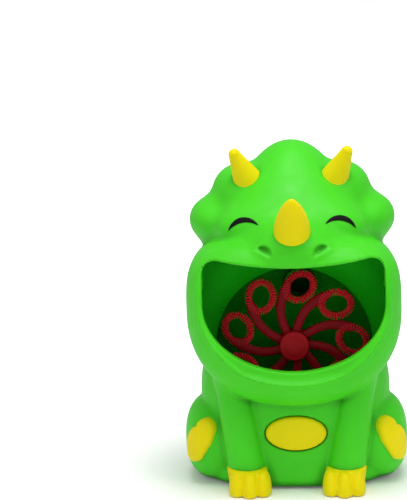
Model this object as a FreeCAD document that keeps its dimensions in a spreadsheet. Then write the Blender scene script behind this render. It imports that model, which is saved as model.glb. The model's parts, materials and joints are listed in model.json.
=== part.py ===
"""Dinosaur-shaped bubble machine: two hollow shells around a bubble-solution tank, a wand wheel turned by a
gear train, and a motor-driven blower that blows through the ring at the top of the wheel.

Frame: millimetres, +Z up, +X to the viewer's right, the face looks towards -Y, the origin is on the
floor under the middle of the body.
"""

import FreeCAD
import Part
import Sketcher

import math
import os
import re

from FreeCAD import Placement, Rotation, Vector

doc = FreeCAD.newDocument("bubble_machine")

# ---------------------------------------------------------------- driving dimensions

SIZES = [
    # shells
    ("wall", 2.4, "wall of the two shells"),
    ("floor_z", 0.8, "underside of the shells, above the floor by the height of the pads"),
    ("split_y", 4, "plane where the front and rear shells meet"),
    # jaw: the wide mouth drum
    ("jaw_half_width", 67.8, "half width of the jaw"),
    ("jaw_z", 115, "height of the jaw's widest line"),
    ("jaw_up", 45, "jaw above its widest line"),
    ("jaw_down", 57.5, "jaw below its widest line"),
    ("jaw_mid_y", -20, "depth at which the jaw is widest"),
    ("jaw_front", 54, "jaw ahead of its widest depth"),
    ("jaw_back", 64, "jaw behind its widest depth"),
    # head, nose and the scalloped frill
    ("head_y", 2, "head centre, depth"),
    ("head_z", 150, "head centre, height"),
    ("head_rx", 57, "head half width"),
    ("head_ry", 57.6, "head half depth"),
    ("head_rz", 58, "head half height"),
    ("nose_y", -46, "nose centre, depth"),
    ("nose_z", 155, "nose centre, height"),
    ("nose_rx", 25, "nose half width"),
    ("nose_ry", 27, "nose half depth"),
    ("nose_rz", 19, "nose half height"),
    ("crest_y", 6, "crest lobe centre, depth"),
    ("crest_z", 188, "crest lobe centre, height"),
    ("crest_rx", 30, "crest lobe half width"),
    ("crest_ry", 33, "crest lobe half depth"),
    ("crest_rz", 31.5, "crest lobe half height"),
    ("temple_x", 33, "temple lobe centre, off the middle"),
    ("temple_y", 4, "temple lobe centre, depth"),
    ("temple_z", 186, "temple lobe centre, height"),
    ("temple_rx", 18.5, "temple lobe half width"),
    ("temple_ry", 30, "temple lobe half depth"),
    ("temple_rz", 18.5, "temple lobe half height"),
    ("ear_x", 51, "side lobe centre, off the middle"),
    ("ear_y", 1, "side lobe centre, depth"),
    ("ear_z", 168, "side lobe centre, height"),
    ("ear_rx", 15, "side lobe half width"),
    ("ear_ry", 27, "side lobe half depth"),
    ("ear_rz", 14.5, "side lobe half height"),
    # body, haunches and front legs
    ("body_half_width", 60, "body half width"),
    ("body_y", 5, "body centre, depth"),
    ("body_half_depth", 53, "body half depth"),
    ("body_top", 100, "top of the body, inside the jaw"),
    ("haunch_x", 48, "haunch centre, off the middle"),
    ("haunch_y", -6, "haunch centre, depth"),
    ("haunch_z", 24, "haunch centre, height"),
    ("haunch_rx", 24, "haunch half width"),
    ("haunch_ry", 36, "haunch half depth"),
    ("haunch_rz", 30, "haunch half height"),
    ("leg_x", 34, "front leg centre, off the middle"),
    ("leg_y", -45, "front leg centre, depth"),
    ("leg_rad", 13.6, "front leg radius at the foot"),
    ("leg_top_rad", 12.6, "front leg radius under the chin"),
    ("leg_len", 78, "front leg length"),
    ("shoulder_x", 40.5, "fillet between leg and jaw, off the middle"),
    ("shoulder_y", -34, "fillet between leg and jaw, depth"),
    ("shoulder_z", 73, "fillet between leg and jaw, height"),
    ("shoulder_rx", 9.8, "fillet half width"),
    ("shoulder_ry", 17, "fillet half depth"),
    ("shoulder_rz", 11, "fillet half height"),
    # mouth opening
    ("mouth_half_width", 56, "half width of the mouth"),
    ("mouth_mid_z", 122, "height where the mouth is widest"),
    ("mouth_drop", 42, "lower lip below the widest line"),
    ("mouth_corner_z", 149.3, "top of the mouth's corners"),
    ("mouth_corner_x", 47, "where the upper lip meets the corners"),
    ("mouth_corner_rad", 9, "radius of the mouth's corners"),
    ("mouth_lip_z", 143.8, "middle of the upper lip"),
    ("flare_y", -64, "depth where the lower lip starts to flare"),
    ("flare_slope", 0.95, "how much the flare opens over its depth"),
    ("lip_height", 9, "height of the solid lip round the mouth"),
    # solution tank behind the mouth
    ("throat_y", -48, "front edge of the tank's throat"),
    ("tank_front_y", -42, "front face of the tank below the lip"),
    ("tank_back_y", -10, "back face of the tank"),
    ("tank_wall", 1.6, "wall of the tank"),
    ("tank_rad", 49.7, "inside radius of the wheel well"),
    # wand wheel
    ("axle_z", 90, "height of the wheel's axle"),
    ("wheel_y", -28, "middle plane of the wheel"),
    ("ring_orbit", 37.4, "ring centre from the axle"),
    ("ring_long", 11.6, "half length of a bubble ring over its ribs"),
    ("ring_short", 10, "half width of a bubble ring over its ribs"),
    ("ring_band", 4.4, "width of a ring's ribbed band"),
    ("ring_deep", 5.5, "depth of a ring's ribs"),
    ("arm_wide", 5.4, "width of an arm"),
    ("arm_thick", 3, "thickness of an arm"),
    ("hub_rad", 9.5, "radius of the hub"),
    ("hub_front_y", -35.5, "front face of the hub"),
    ("hub_back_y", -22, "back face of the hub"),
    ("axle_rad", 2, "radius of the axle"),
    # gears
    ("tooth_module", 0.6, "module of every gear"),
    ("pinion_teeth", 10, "teeth of the small gears"),
    ("middle_teeth", 40, "teeth of the two large middle gears"),
    ("output_teeth", 50, "teeth of the gear on the axle"),
    ("pin_rad", 1, "radius of the gear pins and motor shafts"),
    ("run_gap", 0.05, "running clearance on a radius"),
    ("gear_b_angle", 200, "direction from the axle to the second gear"),
    ("gear_a_angle", 80, "direction from the second gear to the first"),
    ("pinion_angle", 20, "direction from the first gear to the motor"),
    # gear case
    ("case_front_y", -6, "front face of the gear case"),
    ("case_back_y", 9.8, "back edge of the gear case"),
    ("cover_thick", 1.8, "thickness of the case cover"),
    ("case_left", -31.5, "left side of the case"),
    ("case_right", 17.5, "right side of the case"),
    ("case_low", 69.5, "underside of the case"),
    ("case_high", 113.5, "top of the case"),
    ("case_wall", 1.5, "wall of the case"),
    # motors
    ("motor_long", 25, "length of a motor can"),
    ("motor_wide", 20.4, "width over a motor can's round sides"),
    ("motor_flat", 15.4, "height between a motor can's flats"),
    # blower
    ("fan_x", -14, "fan centre, off the middle"),
    ("fan_z", 165, "fan centre, height"),
    ("fan_rad", 19.5, "fan radius"),
    ("fan_front_y", 5, "front face of the fan's plate"),
    ("fan_deep", 11, "depth of the fan"),
    ("fan_blades", 12, "blades on the fan"),
    ("scroll_front_y", 2, "front face of the blower housing"),
    ("scroll_back_y", 19, "back edge of the blower housing"),
    ("scroll_wall", 1.5, "wall of the blower housing"),
    ("nozzle_x", 4.2, "air nozzle, off the middle"),
    ("nozzle_z", 127.2, "air nozzle, height"),
    ("nozzle_rad", 10, "outside radius of the air nozzle"),
    ("nozzle_front_y", -19, "front edge of the air nozzle"),
    # power
    ("cell_rad", 7.25, "AA cell radius"),
    ("cell_long", 50.5, "AA cell length"),
    ("cell_pitch", 15, "height from one cell to the next"),
    ("cell_low_z", 16.5, "height of the lowest cell"),
    ("cell_y", 46, "depth of the cells"),
    ("door_half_width", 32, "half width of the battery door"),
    ("door_low_z", 8.5, "lower edge of the battery door"),
    ("door_high_z", 80, "upper edge of the battery door"),
    ("door_corner", 5, "corner radius of the battery door"),
    ("hinge_y", 58.2, "depth of the door's hinge line"),
    ("hinge_z", 8.3, "height of the door's hinge line"),
    ("hinge_rad", 1.1, "radius of the door's rolled lower edge"),
    # power button
    ("button_z", 36.7, "button centre, height"),
    ("button_rx", 19.2, "button half width"),
    ("button_rz", 10.9, "button half height"),
    ("button_gap", 0.45, "gap round the button"),
    ("button_proud", 1.2, "button face ahead of the belly"),
    ("switch_z", 30, "switch height, under the tank"),
    # horns
    ("nose_horn_rad", 11.3, "nose horn radius at its base"),
    ("nose_horn_len", 26, "nose horn length"),
    ("nose_horn_tilt", 50, "nose horn above the horizontal"),
    ("nose_horn_y", -64, "nose horn base, depth"),
    ("nose_horn_z", 168, "nose horn base, height"),
    ("brow_horn_rad", 8.5, "brow horn radius at its base"),
    ("brow_horn_tip", 2.7, "brow horn tip radius"),
    ("brow_horn_len", 20, "brow horn length to its tip's centre"),
    ("brow_horn_x", 29, "brow horn base, off the middle"),
    ("brow_horn_y", -19, "brow horn base, depth"),
    ("brow_horn_z", 195.5, "brow horn base, height"),
    # screws and pads
    ("post_rad", 4, "screw post radius"),
    ("pilot_rad", 1.25, "pilot hole radius"),
    ("shank_rad", 1.25, "screw thread radius"),
    ("screw_head_rad", 2.8, "screw head radius"),
    ("pad_rad", 5, "rubber pad radius"),
    ("middle_pad_rad", 2.6, "radius of the small pad under the middle"),
    ("pad_thick", 2, "rubber pad thickness"),
]

sheet = doc.addObject("Spreadsheet::Sheet", "Sizes")
for row, (alias, number, meaning) in enumerate(SIZES, 1):
    sheet.set(f"A{row}", meaning)
    sheet.set(f"B{row}", str(number))
    sheet.setAlias(f"B{row}", alias)
doc.recompute()

ALIASES = re.compile(r"\b(" + "|".join(alias for alias, _, _ in SIZES) + r")\b")


def words(text):
    """An expression on the sheet's cells, with each alias spelt the way setExpression wants it."""
    return ALIASES.sub(r"Sizes.\1", str(text))


def size(text):
    """The present value of such an expression."""
    return float(sheet.evalExpression(words(text)))


# ---------------------------------------------------------------- small building tools

SUBPARTS = []


def bind(thing, **expressions):
    for prop, text in expressions.items():
        thing.setExpression(prop, words(text))
    return thing


def move(thing, x="0", y="0", z="0"):
    for axis, text in zip("xyz", (x, y, z)):
        thing.setExpression(f"Placement.Base.{axis}", words(text))
    return thing


def box(name, x, y, z):
    """A block between two expressions on each axis."""
    block = doc.addObject("Part::Box", name)
    bind(block, Length=f"({x[1]}) - ({x[0]})", Width=f"({y[1]}) - ({y[0]})", Height=f"({z[1]}) - ({z[0]})")
    return move(block, x[0], y[0], z[0])


def rod(name, radius, x, z, y):
    """A cylinder along Y between two depths."""
    cylinder = doc.addObject("Part::Cylinder", name)
    cylinder.Placement = Placement(Vector(), Rotation(Vector(1, 0, 0), -90))
    bind(cylinder, Radius=radius, Height=f"({y[1]}) - ({y[0]})")
    return move(cylinder, x, y[0], z)


def upright(name, radius, x, y, z):
    """A cylinder along Z between two heights."""
    cylinder = doc.addObject("Part::Cylinder", name)
    bind(cylinder, Radius=radius, Height=f"({z[1]}) - ({z[0]})")
    return move(cylinder, x, y, z[0])


def oval(name, rx, rz, z, y):
    """An elliptic cylinder along Y in the middle plane."""
    edge = doc.addObject("Part::Ellipse", name + "_edge")
    edge.Placement = Placement(Vector(), Rotation(Vector(1, 0, 0), 90))
    bind(edge, MajorRadius=rx, MinorRadius=rz)
    move(edge, "0", y[0], z)
    result = doc.addObject("Part::Extrusion", name)
    result.Base = edge
    result.DirMode = "Custom"
    result.Dir = Vector(0, 1, 0)
    result.Solid = True
    return bind(result, LengthFwd=f"({y[1]}) - ({y[0]})")


def screw(name, x, z, tip, seat, top, shank="shank_rad", head="screw_head_rad"):
    """A screw along Y: shank from its tip to the seat, head from the seat to its top."""
    low, high = sorted((tip, seat), key=size)
    under, over = sorted((seat, top), key=size)
    return fuse(
        name, rod(name + "_shank", shank, x, z, (low, high)), rod(name + "_head", head, x, z, (under, over))
    )


def ellipsoid(name, centre, radii, grow="0"):
    ball = doc.addObject("Part::Ellipsoid", name)
    rx, ry, rz = (f"({radius}) + ({grow})" for radius in radii)
    bind(ball, Radius1=rz, Radius2=rx, Radius3=ry)
    return move(ball, *centre)


def cut(name, base, *tools):
    result = doc.addObject("Part::Cut", name)
    result.Base = base
    result.Tool = tools[0] if len(tools) == 1 else fuse(name + "_tools", *tools)
    result.Refine = False
    return result


def fuse(name, *shapes):
    result = doc.addObject("Part::MultiFuse", name)
    result.Shapes = list(shapes)
    result.Refine = False
    return result


def common(name, *shapes):
    result = doc.addObject("Part::MultiCommon", name)
    result.Shapes = list(shapes)
    result.Refine = False
    return result


def group(name, *shapes):
    """Identical or loose solids that share one node."""
    result = doc.addObject("Part::Compound", name)
    result.Links = list(shapes)
    return result


def feature(name, shape):
    """A solid whose surface comes from a formula on the sheet's values."""
    result = doc.addObject("Part::Feature", name)
    result.Shape = shape
    return result


def subpart(node, thing):
    thing.Label = node
    SUBPARTS.append((node, thing))
    return thing


def origin_plane(body, role):
    return next(item for item in body.Origin.OriginFeatures if item.Role == role)


def sketch(body, name, role="XY_Plane", offset="0"):
    """A sketch on one of the body's own planes, moved along the plane's normal."""
    result = body.newObject("Sketcher::SketchObject", name)
    result.AttachmentSupport = [(origin_plane(body, role), "")]
    result.MapMode = "FlatFace"
    result.setExpression("AttachmentOffset.Base.z", words(offset))
    return result


def outline(result, corners):
    """Closes a polygon whose corners are held by expressions."""
    first = result.GeometryCount
    places = [(size(u), size(v)) for u, v in corners]
    count = len(corners)
    for i in range(count):
        result.addGeometry(Part.LineSegment(Vector(*places[i], 0), Vector(*places[(i + 1) % count], 0)))
    for i in range(count):
        result.addConstraint(Sketcher.Constraint("Coincident", first + i, 2, first + (i + 1) % count, 1))
        for kind, text, at in zip(("DistanceX", "DistanceY"), corners[i], places[i]):
            number = result.addConstraint(Sketcher.Constraint(kind, -1, 1, first + i, 1, at))
            result.setExpression(f"Constraints[{number}]", words(text))
    return result


def turned(node, corners):
    """A revolved body: corners are (radius, along) and the body's own Z is the axis."""
    body = doc.addObject("PartDesign::Body", node)
    profile = outline(sketch(body, node + "_profile", "XZ_Plane"), corners)
    turn = body.newObject("PartDesign::Revolution", node + "_turn")
    turn.Profile = profile
    turn.ReferenceAxis = (profile, ["V_Axis"])
    turn.Angle = 360
    return body


def across(name, radius, reach):
    """A cylinder along the door's hinge line."""
    cylinder = doc.addObject("Part::Cylinder", name)
    cylinder.Placement = Placement(Vector(), Rotation(Vector(0, 1, 0), 90))
    bind(cylinder, Radius=radius, Height=f"2 * ({reach})")
    return move(cylinder, f"-({reach})", "hinge_y", "hinge_z")


ALONG_Y = Rotation(Vector(1, 0, 0), -90)  # turns a body's Z to +Y, its X stays, its Y becomes -Z

# ---------------------------------------------------------------- outer skin, from formulas

SIDES = (("left", -1), ("right", 1))  # as seen from the front
ROUND = 40  # points on a lofted outline


def power_curve(angle, half_width, up, down, square_up, square_down):
    """A point of an outline whose two halves are superellipses: square 2 is an ellipse, more is boxier."""
    across, along = math.cos(angle), math.sin(angle)
    square, reach = (square_up, up) if along >= 0 else (square_down, down)
    return (
        half_width * math.copysign(abs(across) ** (2 / square), across),
        reach * math.copysign(abs(along) ** (2 / square), along),
    )


def closed_wire(points):
    curve = Part.BSplineCurve()
    curve.interpolate(points, True)
    return Part.Wire([curve.toShape()])


def jaw_solid(grow=0):
    """The jaw drum: one outline, shrunk towards both ends along Y."""
    half_width, up, down = (size(a) + grow for a in ("jaw_half_width", "jaw_up", "jaw_down"))
    wires = []
    for step in range(-6, 8):
        square, reach = (4, -size("jaw_front") - grow) if step < 0 else (2.2, size("jaw_back") + grow)
        turn = abs(step) / (7 if step < 0 else 8) * math.pi / 2
        share = math.cos(turn) ** (2 / square)
        y = size("jaw_mid_y") + reach * math.sin(turn) ** (2 / square)
        ring = (power_curve(2 * math.pi * i / ROUND, half_width, up, down, 3.6, 2.25) for i in range(ROUND))
        wires.append(closed_wire([Vector(share * x, y, size("jaw_z") + share * z) for x, z in ring]))
    return Part.makeLoft(wires, True, False)


def body_solid(grow=0):
    """The body: one outline stacked along Z, rounded under and drawn in at the top."""
    half_width, half_depth = size("body_half_width") + grow, size("body_half_depth") + grow
    low, top = size("floor_z") - grow, size("body_top") + grow
    round_low, shoulder, drawn_in = 8, 58, 26
    heights = [low + round_low * share for share in (-0.4, 0, 0.12, 0.35, 0.65, 1)]
    heights += [low + 20, 32, 45, shoulder]
    heights += [shoulder + (top - shoulder) * share for share in (0.25, 0.5, 0.7, 0.85, 0.95)]
    wires = []
    for z in heights:
        under = max(0, 1 - (z - low) / round_low)
        above = max(0, (z - shoulder) / (top - shoulder))
        inset = 3.5 * under**2.5 + drawn_in * (1 - math.sqrt(1 - above**2))
        ring = (
            power_curve(
                2 * math.pi * i / ROUND,
                half_width - inset,
                half_depth - inset,
                half_depth - inset,
                2.8,
                2.8,
            )
            for i in range(ROUND)
        )
        wires.append(closed_wire([Vector(x, size("body_y") + y, z) for x, y in ring]))
    return Part.makeLoft(wires, True, False)


def skin(name, grow):
    """Everything the shells follow, grown or shrunk, cut off flat at the floor."""
    parts = [
        feature(name + "_jaw", jaw_solid(size(grow))),
        feature(name + "_body", body_solid(size(grow))),
        ellipsoid(name + "_head", ("0", "head_y", "head_z"), ("head_rx", "head_ry", "head_rz"), grow),
        ellipsoid(name + "_nose", ("0", "nose_y", "nose_z"), ("nose_rx", "nose_ry", "nose_rz"), grow),
        ellipsoid(name + "_crest", ("0", "crest_y", "crest_z"), ("crest_rx", "crest_ry", "crest_rz"), grow),
    ]
    for side, sign in SIDES:
        for lobe in ("temple", "ear", "haunch", "shoulder"):
            centre = (f"{sign} * {lobe}_x", f"{lobe}_y", f"{lobe}_z")
            radii = (f"{lobe}_rx", f"{lobe}_ry", f"{lobe}_rz")
            parts.append(ellipsoid(f"{name}_{lobe}_{side}", centre, radii, grow))
        leg = doc.addObject("Part::Cone", f"{name}_leg_{side}")
        leg.Placement = Placement(
            Vector(), Rotation(Vector(0, 1, 0), 2.6 * sign) * Rotation(Vector(1, 0, 0), -4)
        )
        bind(leg, Radius1=f"leg_rad + {grow}", Radius2=f"leg_top_rad + {grow}", Height="leg_len")
        parts.append(move(leg, f"{sign} * leg_x", "leg_y", "0"))
    whole = fuse(name + "_whole", *parts)
    above = box(name + "_above", ("-100", "100"), ("-100", "100"), (f"floor_z - ({grow})", "250"))
    return common(name, whole, above)


def mouth_face(grow, y, flare=0):
    """The mouth's outline at one depth: half an ellipse, straight sides, round corners, a sagging lip."""
    half, mid, across = size("mouth_half_width") + grow, size("mouth_mid_z"), size("mouth_corner_x")
    corner, turn = size("mouth_corner_rad") + grow, size("mouth_corner_z - mouth_corner_rad")
    lip, slant = size("mouth_lip_z") + grow, corner * math.sqrt(0.5)
    wide, drop = half + flare, size("mouth_drop") + grow + flare
    lower = Part.Ellipse(Vector(wide, mid, 0), Vector(0, mid + drop, 0), Vector(0, mid, 0))
    upper = Part.Arc(Vector(across, turn + corner, 0), Vector(0, lip, 0), Vector(-across, turn + corner, 0))
    edges = [Part.ArcOfEllipse(lower, math.pi, 2 * math.pi).toShape(), upper.toShape()]
    for sign in (-1, 1):
        start, top = Vector(sign * half, turn, 0), Vector(sign * across, turn + corner, 0)
        edges.append(Part.makeLine(Vector(sign * wide, mid, 0), start))
        edges.append(Part.Arc(start, Vector(sign * (across + slant), turn + slant, 0), top).toShape())
    face = Part.Face(Part.Wire(Part.__sortEdges__(edges)))
    face.rotate(Vector(), Vector(1, 0, 0), 90)
    face.translate(Vector(0, y, 0))
    return face


def mouth(name, grow, y):
    """The mouth's outline carried along Y."""
    return feature(
        name, mouth_face(size(grow), size(y[0])).extrude(Vector(0, size(f"({y[1]}) - ({y[0]})"), 0))
    )


def mouth_flare(name):
    """The funnel cut into the lower lip."""
    reach = 24
    ends = [mouth_face(0, size("flare_y") - depth, size("flare_slope") * depth) for depth in (reach, 0)]
    return feature(name, Part.makeLoft([face.OuterWire for face in ends], True, True))


def rounded_slab(name, grow, y):
    """The battery door's outline carried along Y."""
    x, low, high = size("door_half_width") + grow, size("door_low_z") - grow, size("door_high_z") + grow
    block = Part.makeBox(2 * x, y[1] - y[0], high - low, Vector(-x, y[0], low))
    edges = [edge for edge in block.Edges if edge.BoundBox.YLength > 1]
    return feature(name, block.makeFillet(size("door_corner") + grow, edges))


FAR_LEFT_RIGHT = ("-100", "100")

outer = skin("outer", "0")
inner = skin("inner", "-wall")
shell = cut("shell", outer, inner)

# ---------------------------------------------------------------- front shell

front_half = common("front_half", shell, box("ahead", FAR_LEFT_RIGHT, ("-100", "split_y"), ("-10", "250")))
mouth_hole = mouth("mouth_hole", "0", ("-100", "tank_front_y + 2"))
lip_blocks = fuse(
    "lip_blocks",
    mouth("lip_tube", "tank_wall", ("-100", "throat_y - 0.2")),
    mouth("lip_block", "lip_height", ("-100", "flare_y + 3")),
)
lip_ring = common("lip_ring", lip_blocks, outer)

SHELL_POSTS = (("50", "20"), ("54", "92"), ("30", "190"))
LINER_POSTS = (("38", "50"), ("26", "152"))
BOARD_POSTS = (("16", "16"),)

posts, pilots = [], []
for side, sign in SIDES:
    for number, (x, z) in enumerate(SHELL_POSTS):
        front = "-41" if number == 0 else "-9"
        posts.append(rod(f"post_{side}_{number}", "post_rad", f"{sign} * {x}", z, (front, "split_y")))
        pilots.append(rod(f"pilot_{side}_{number}", "pilot_rad", f"{sign} * {x}", z, ("-6", "split_y + 1")))
    for number, (x, z) in enumerate(LINER_POSTS):
        posts.append(
            rod(f"liner_post_{side}_{number}", "post_rad - 0.5", f"{sign} * {x}", z, ("-75", "tank_front_y"))
        )
        pilots.append(rod(f"liner_pilot_{side}_{number}", "pilot_rad", f"{sign} * {x}", z, ("-51", "-41")))
    for number, (x, z) in enumerate(BOARD_POSTS):
        posts.append(rod(f"board_post_{side}_{number}", "2.5", f"{sign} * {x}", z, ("-60", "-36")))
        pilots.append(rod(f"board_pilot_{side}_{number}", "0.9", f"{sign} * {x}", z, ("-43", "-35")))
    rib_x = (f"{sign} * 30 - 1", f"{sign} * 30 + 1")
    posts.append(box(f"post_rib_{side}", rib_x, ("-9", "split_y"), ("190", "212")))
front_posts = common("front_posts", fuse("all_front_posts", *posts), outer)

button_hole = oval(
    "button_hole", "button_rx + button_gap", "button_rz + button_gap", "button_z", ("-60", "-40")
)


def crescent(name, sign, grow):
    """The outline of a closed, smiling eye: two arcs that meet in points, offset outwards by grow."""
    ends = (Vector(sign * 39.1, -60, 165.9), Vector(sign * 20.8, -60, 169.4))
    arcs = [Part.Arc(ends[0], Vector(sign * 28.8, -60, top), ends[1]).toShape() for top in (174.2, 171.3)]
    face = Part.Face(Part.Wire(arcs))
    if grow:
        face = face.makeOffset2D(grow)
    return feature(name, face.extrude(Vector(0, 35, 0)))


under_eye = ellipsoid("under_eye", ("0", "head_y", "head_z"), ("head_rx", "head_ry", "head_rz"), "-0.8")
head_ball = doc.getObject("outer_head")
eye_pockets, nostrils, pegs = [], [], []
for side, sign in SIDES:
    eye_pockets.append(cut(f"eye_pocket_{side}", crescent(f"eye_gap_{side}", sign, 0.25), under_eye))
    lens = cut(f"eye_{side}_piece", crescent(f"eye_outline_{side}", sign, 0), under_eye)
    subpart(f"eye_{side}", common(f"eye_{side}_inlay", lens, head_ball))
    dimple = ellipsoid(f"nostril_{side}", (f"{sign} * 16.4", "-66.6", "157"), ("4.7", "1.9", "2.6"))
    nostrils.append(dimple)

# ---------------------------------------------------------------- horns

TILT = math.radians(size("nose_horn_tilt"))
UP_FORWARD = Rotation(Vector(0, 0, 1), Vector(0, -math.cos(TILT), math.sin(TILT)))
egg = ellipsoid(
    "nose_horn_egg",
    ("0", "nose_horn_y", "nose_horn_z"),
    ("nose_horn_rad", "nose_horn_rad", "nose_horn_len"),
)
egg.Placement.Rotation = UP_FORWARD


def peg(name, base, turn, radius):
    """A short pin under a horn that finds its hole in the shell."""
    pin = doc.addObject("Part::Cylinder", name)
    pin.Placement.Rotation = turn
    bind(pin, Radius=radius, Height="11")
    inward = turn.multVec(Vector(0, 0, -8))
    return move(pin, *(f"{place} + {step}" for place, step in zip(base, inward)))


NOSE_BASE = ("0", "nose_horn_y", "nose_horn_z")
nose_cap = cut("nose_cap", egg, outer)
subpart("nose_horn", fuse("nose_horn_piece", nose_cap, peg("nose_peg", NOSE_BASE, UP_FORWARD, "3")))
pegs.append(peg("nose_peg_hole", NOSE_BASE, UP_FORWARD, "3.05"))

for side, sign in SIDES:
    lean = Rotation(Vector(0, 0, 1), Vector(0.3 * sign, -0.4, 0.87))
    base = (f"{sign} * brow_horn_x", "brow_horn_y", "brow_horn_z")
    start = lean.multVec(Vector(0, 0, -6))
    cone = doc.addObject("Part::Cone", f"brow_cone_{side}")
    cone.Placement.Rotation = lean
    slope = "(brow_horn_rad - brow_horn_tip) / brow_horn_len"
    bind(cone, Radius1=f"brow_horn_rad + 6 * {slope}", Radius2="brow_horn_tip", Height="brow_horn_len + 6")
    move(cone, *(f"{place} + {step}" for place, step in zip(base, start)))
    ball = doc.addObject("Part::Sphere", f"brow_tip_{side}")
    bind(ball, Radius="brow_horn_tip * 1.035")
    tip = lean.multVec(Vector(0, 0, 1))
    move(ball, *(f"{place} + ({step}) * (brow_horn_len - 0.3)" for place, step in zip(base, tip)))
    cap = cut(f"brow_cap_{side}", fuse(f"brow_whole_{side}", cone, ball), outer)
    subpart(
        f"brow_horn_{side}", fuse(f"brow_horn_{side}_piece", cap, peg(f"brow_peg_{side}", base, lean, "3"))
    )
    pegs.append(peg(f"brow_peg_hole_{side}", base, lean, "3.05"))

PADS = [(f"{sign} * {x}", y, "pad_rad") for _, sign in SIDES for x, y in (("40", "-25"), ("38", "40"))]
PADS.append(("0", "0", "middle_pad_rad"))
pad_recesses = [
    upright(f"pad_recess_{i}", f"{radius} + 0.05", x, y, ("0", "pad_thick")) for i, (x, y, radius) in enumerate(
        PADS
    )
]

front_body = fuse("front_body", front_half, lip_ring, front_posts)
tank_relief = rod("tank_relief", "tank_rad + tank_wall + 0.25", "0", "axle_z", ("tank_front_y - 0.25", "0"))
front_tools = [mouth_hole, mouth_flare("mouth_flare"), button_hole, tank_relief]
front_tools += pilots + eye_pockets + nostrils + pegs + pad_recesses
subpart("front_shell", cut("front_shell_piece", front_body, *front_tools))

# ---------------------------------------------------------------- rear shell and battery door

rear_half = common("rear_half", shell, box("behind", FAR_LEFT_RIGHT, ("split_y", "100"), ("-10", "250")))
bosses, wells = [], []
for side, sign in SIDES:
    for number, (x, z) in enumerate(SHELL_POSTS):
        place = (f"{sign} * {x}", z)
        bosses.append(rod(f"boss_{side}_{number}", "post_rad + 0.6", *place, ("split_y", "62")))
        wells.append(rod(f"clear_{side}_{number}", "1.6", *place, ("split_y - 1", "62")))
        wells.append(rod(f"well_{side}_{number}", "3.4", *place, ("9", "70")))
COVER_EARS = (("-42", "172"), ("19", "158"))
for number, place in enumerate(COVER_EARS):
    bosses.append(rod(f"cover_post_{number}", "3", *place, ("20.8", "62")))
    wells.append(rod(f"cover_pilot_{number}", "pilot_rad", *place, ("20", "32")))
rear_bosses = common("rear_bosses", fuse("all_rear_bosses", *bosses), outer)
window = rounded_slab("door_window", 0, (20, 100))
vents = []
for step in range(-3, 4):
    half = math.sqrt(20**2 - (5 * step) ** 2)
    x = (f"fan_x - {half}", f"fan_x + {half}")
    vents.append(
        box(f"vent_{step + 3}", x, ("35", "100"), (f"fan_z + {5 * step} - 1", f"fan_z + {5 * step} + 1"))
    )
rear_body = fuse("rear_body", rear_half, rear_bosses)


hinge_groove = across("hinge_groove", "hinge_rad + 0.2", "18.2")
rear_tools = wells + [window, hinge_groove] + vents + pad_recesses
subpart("rear_shell", cut("rear_shell_piece", rear_body, *rear_tools))

door_outline = rounded_slab("door_outline", -0.15, (40, 100))
door_skin = common("door_skin", shell, door_outline)
hinge_block = box("door_block", ("-18", "18"), ("52.6", "56"), ("8.9", "12"))
hinge_tab = box("door_tab", ("-18", "18"), ("52.6", "54"), ("7", "9"))
rolled_edge = across("rolled_edge", "hinge_rad", "18")
door_boss = rod("door_boss", "4.5", "0", "75", ("52.2", "55"))
door_holes = (
    rod("door_clear", "1.4", "0", "75", ("50", "60")), rod("door_sink", "3", "0", "75", ("54", "60"))
)
door_whole = fuse("door_whole", door_skin, hinge_block, hinge_tab, rolled_edge, door_boss)
subpart("battery_door", cut("battery_door_piece", door_whole, *door_holes))
subpart("door_screw", screw("door_screw_piece", "0", "75", "46", "54", "55.4"))

# ---------------------------------------------------------------- tank behind the mouth

tank_outer = fuse(
    "tank_outer",
    mouth("tank_throat", "tank_wall", ("throat_y", "tank_back_y")),
    rod("tank_well", "tank_rad + tank_wall", "0", "axle_z", ("tank_front_y", "tank_back_y")),
)
tank_room = fuse(
    "tank_room",
    mouth("tank_throat_room", "0", ("throat_y - 1", "tank_back_y - tank_wall")),
    rod(
        "tank_well_room", "tank_rad", "0", "axle_z", ("tank_front_y + tank_wall", "tank_back_y - tank_wall")
    ),
)
CASE_EARS = (("-34.5", "78"), ("20.5", "100"))
liner_adds = [rod("bush_boss", "6.5", "0", "axle_z", ("-14", "case_front_y"))]
liner_holes = [rod("bush_hole", "4", "0", "axle_z", ("-20", "0"))]
liner_holes.append(rod("nozzle_hole", "nozzle_rad + 0.2", "nozzle_x", "nozzle_z", ("-13", "-9")))
for side, sign in SIDES:
    for number, (x, z) in enumerate(LINER_POSTS):
        liner_adds.append(
            rod(f"liner_ear_{side}_{number}", "5.5", f"{sign} * {x}", z, ("tank_front_y", "-40"))
        )
        liner_holes.append(rod(f"liner_clear_{side}_{number}", "1.6", f"{sign} * {x}", z, ("-43", "-39")))
for number, place in enumerate(CASE_EARS):
    liner_adds.append(rod(f"standoff_{number}", "3", *place, ("tank_back_y - 1", "case_front_y")))
    liner_holes.append(rod(f"standoff_pilot_{number}", "0.9", *place, ("-9.6", "-5")))
tank_hollow = cut("tank_hollow", tank_outer, tank_room)
subpart("mouth_liner", cut("mouth_liner_piece", fuse("tank_whole", tank_hollow, *liner_adds), *liner_holes))

# ---------------------------------------------------------------- feet and soles

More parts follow.
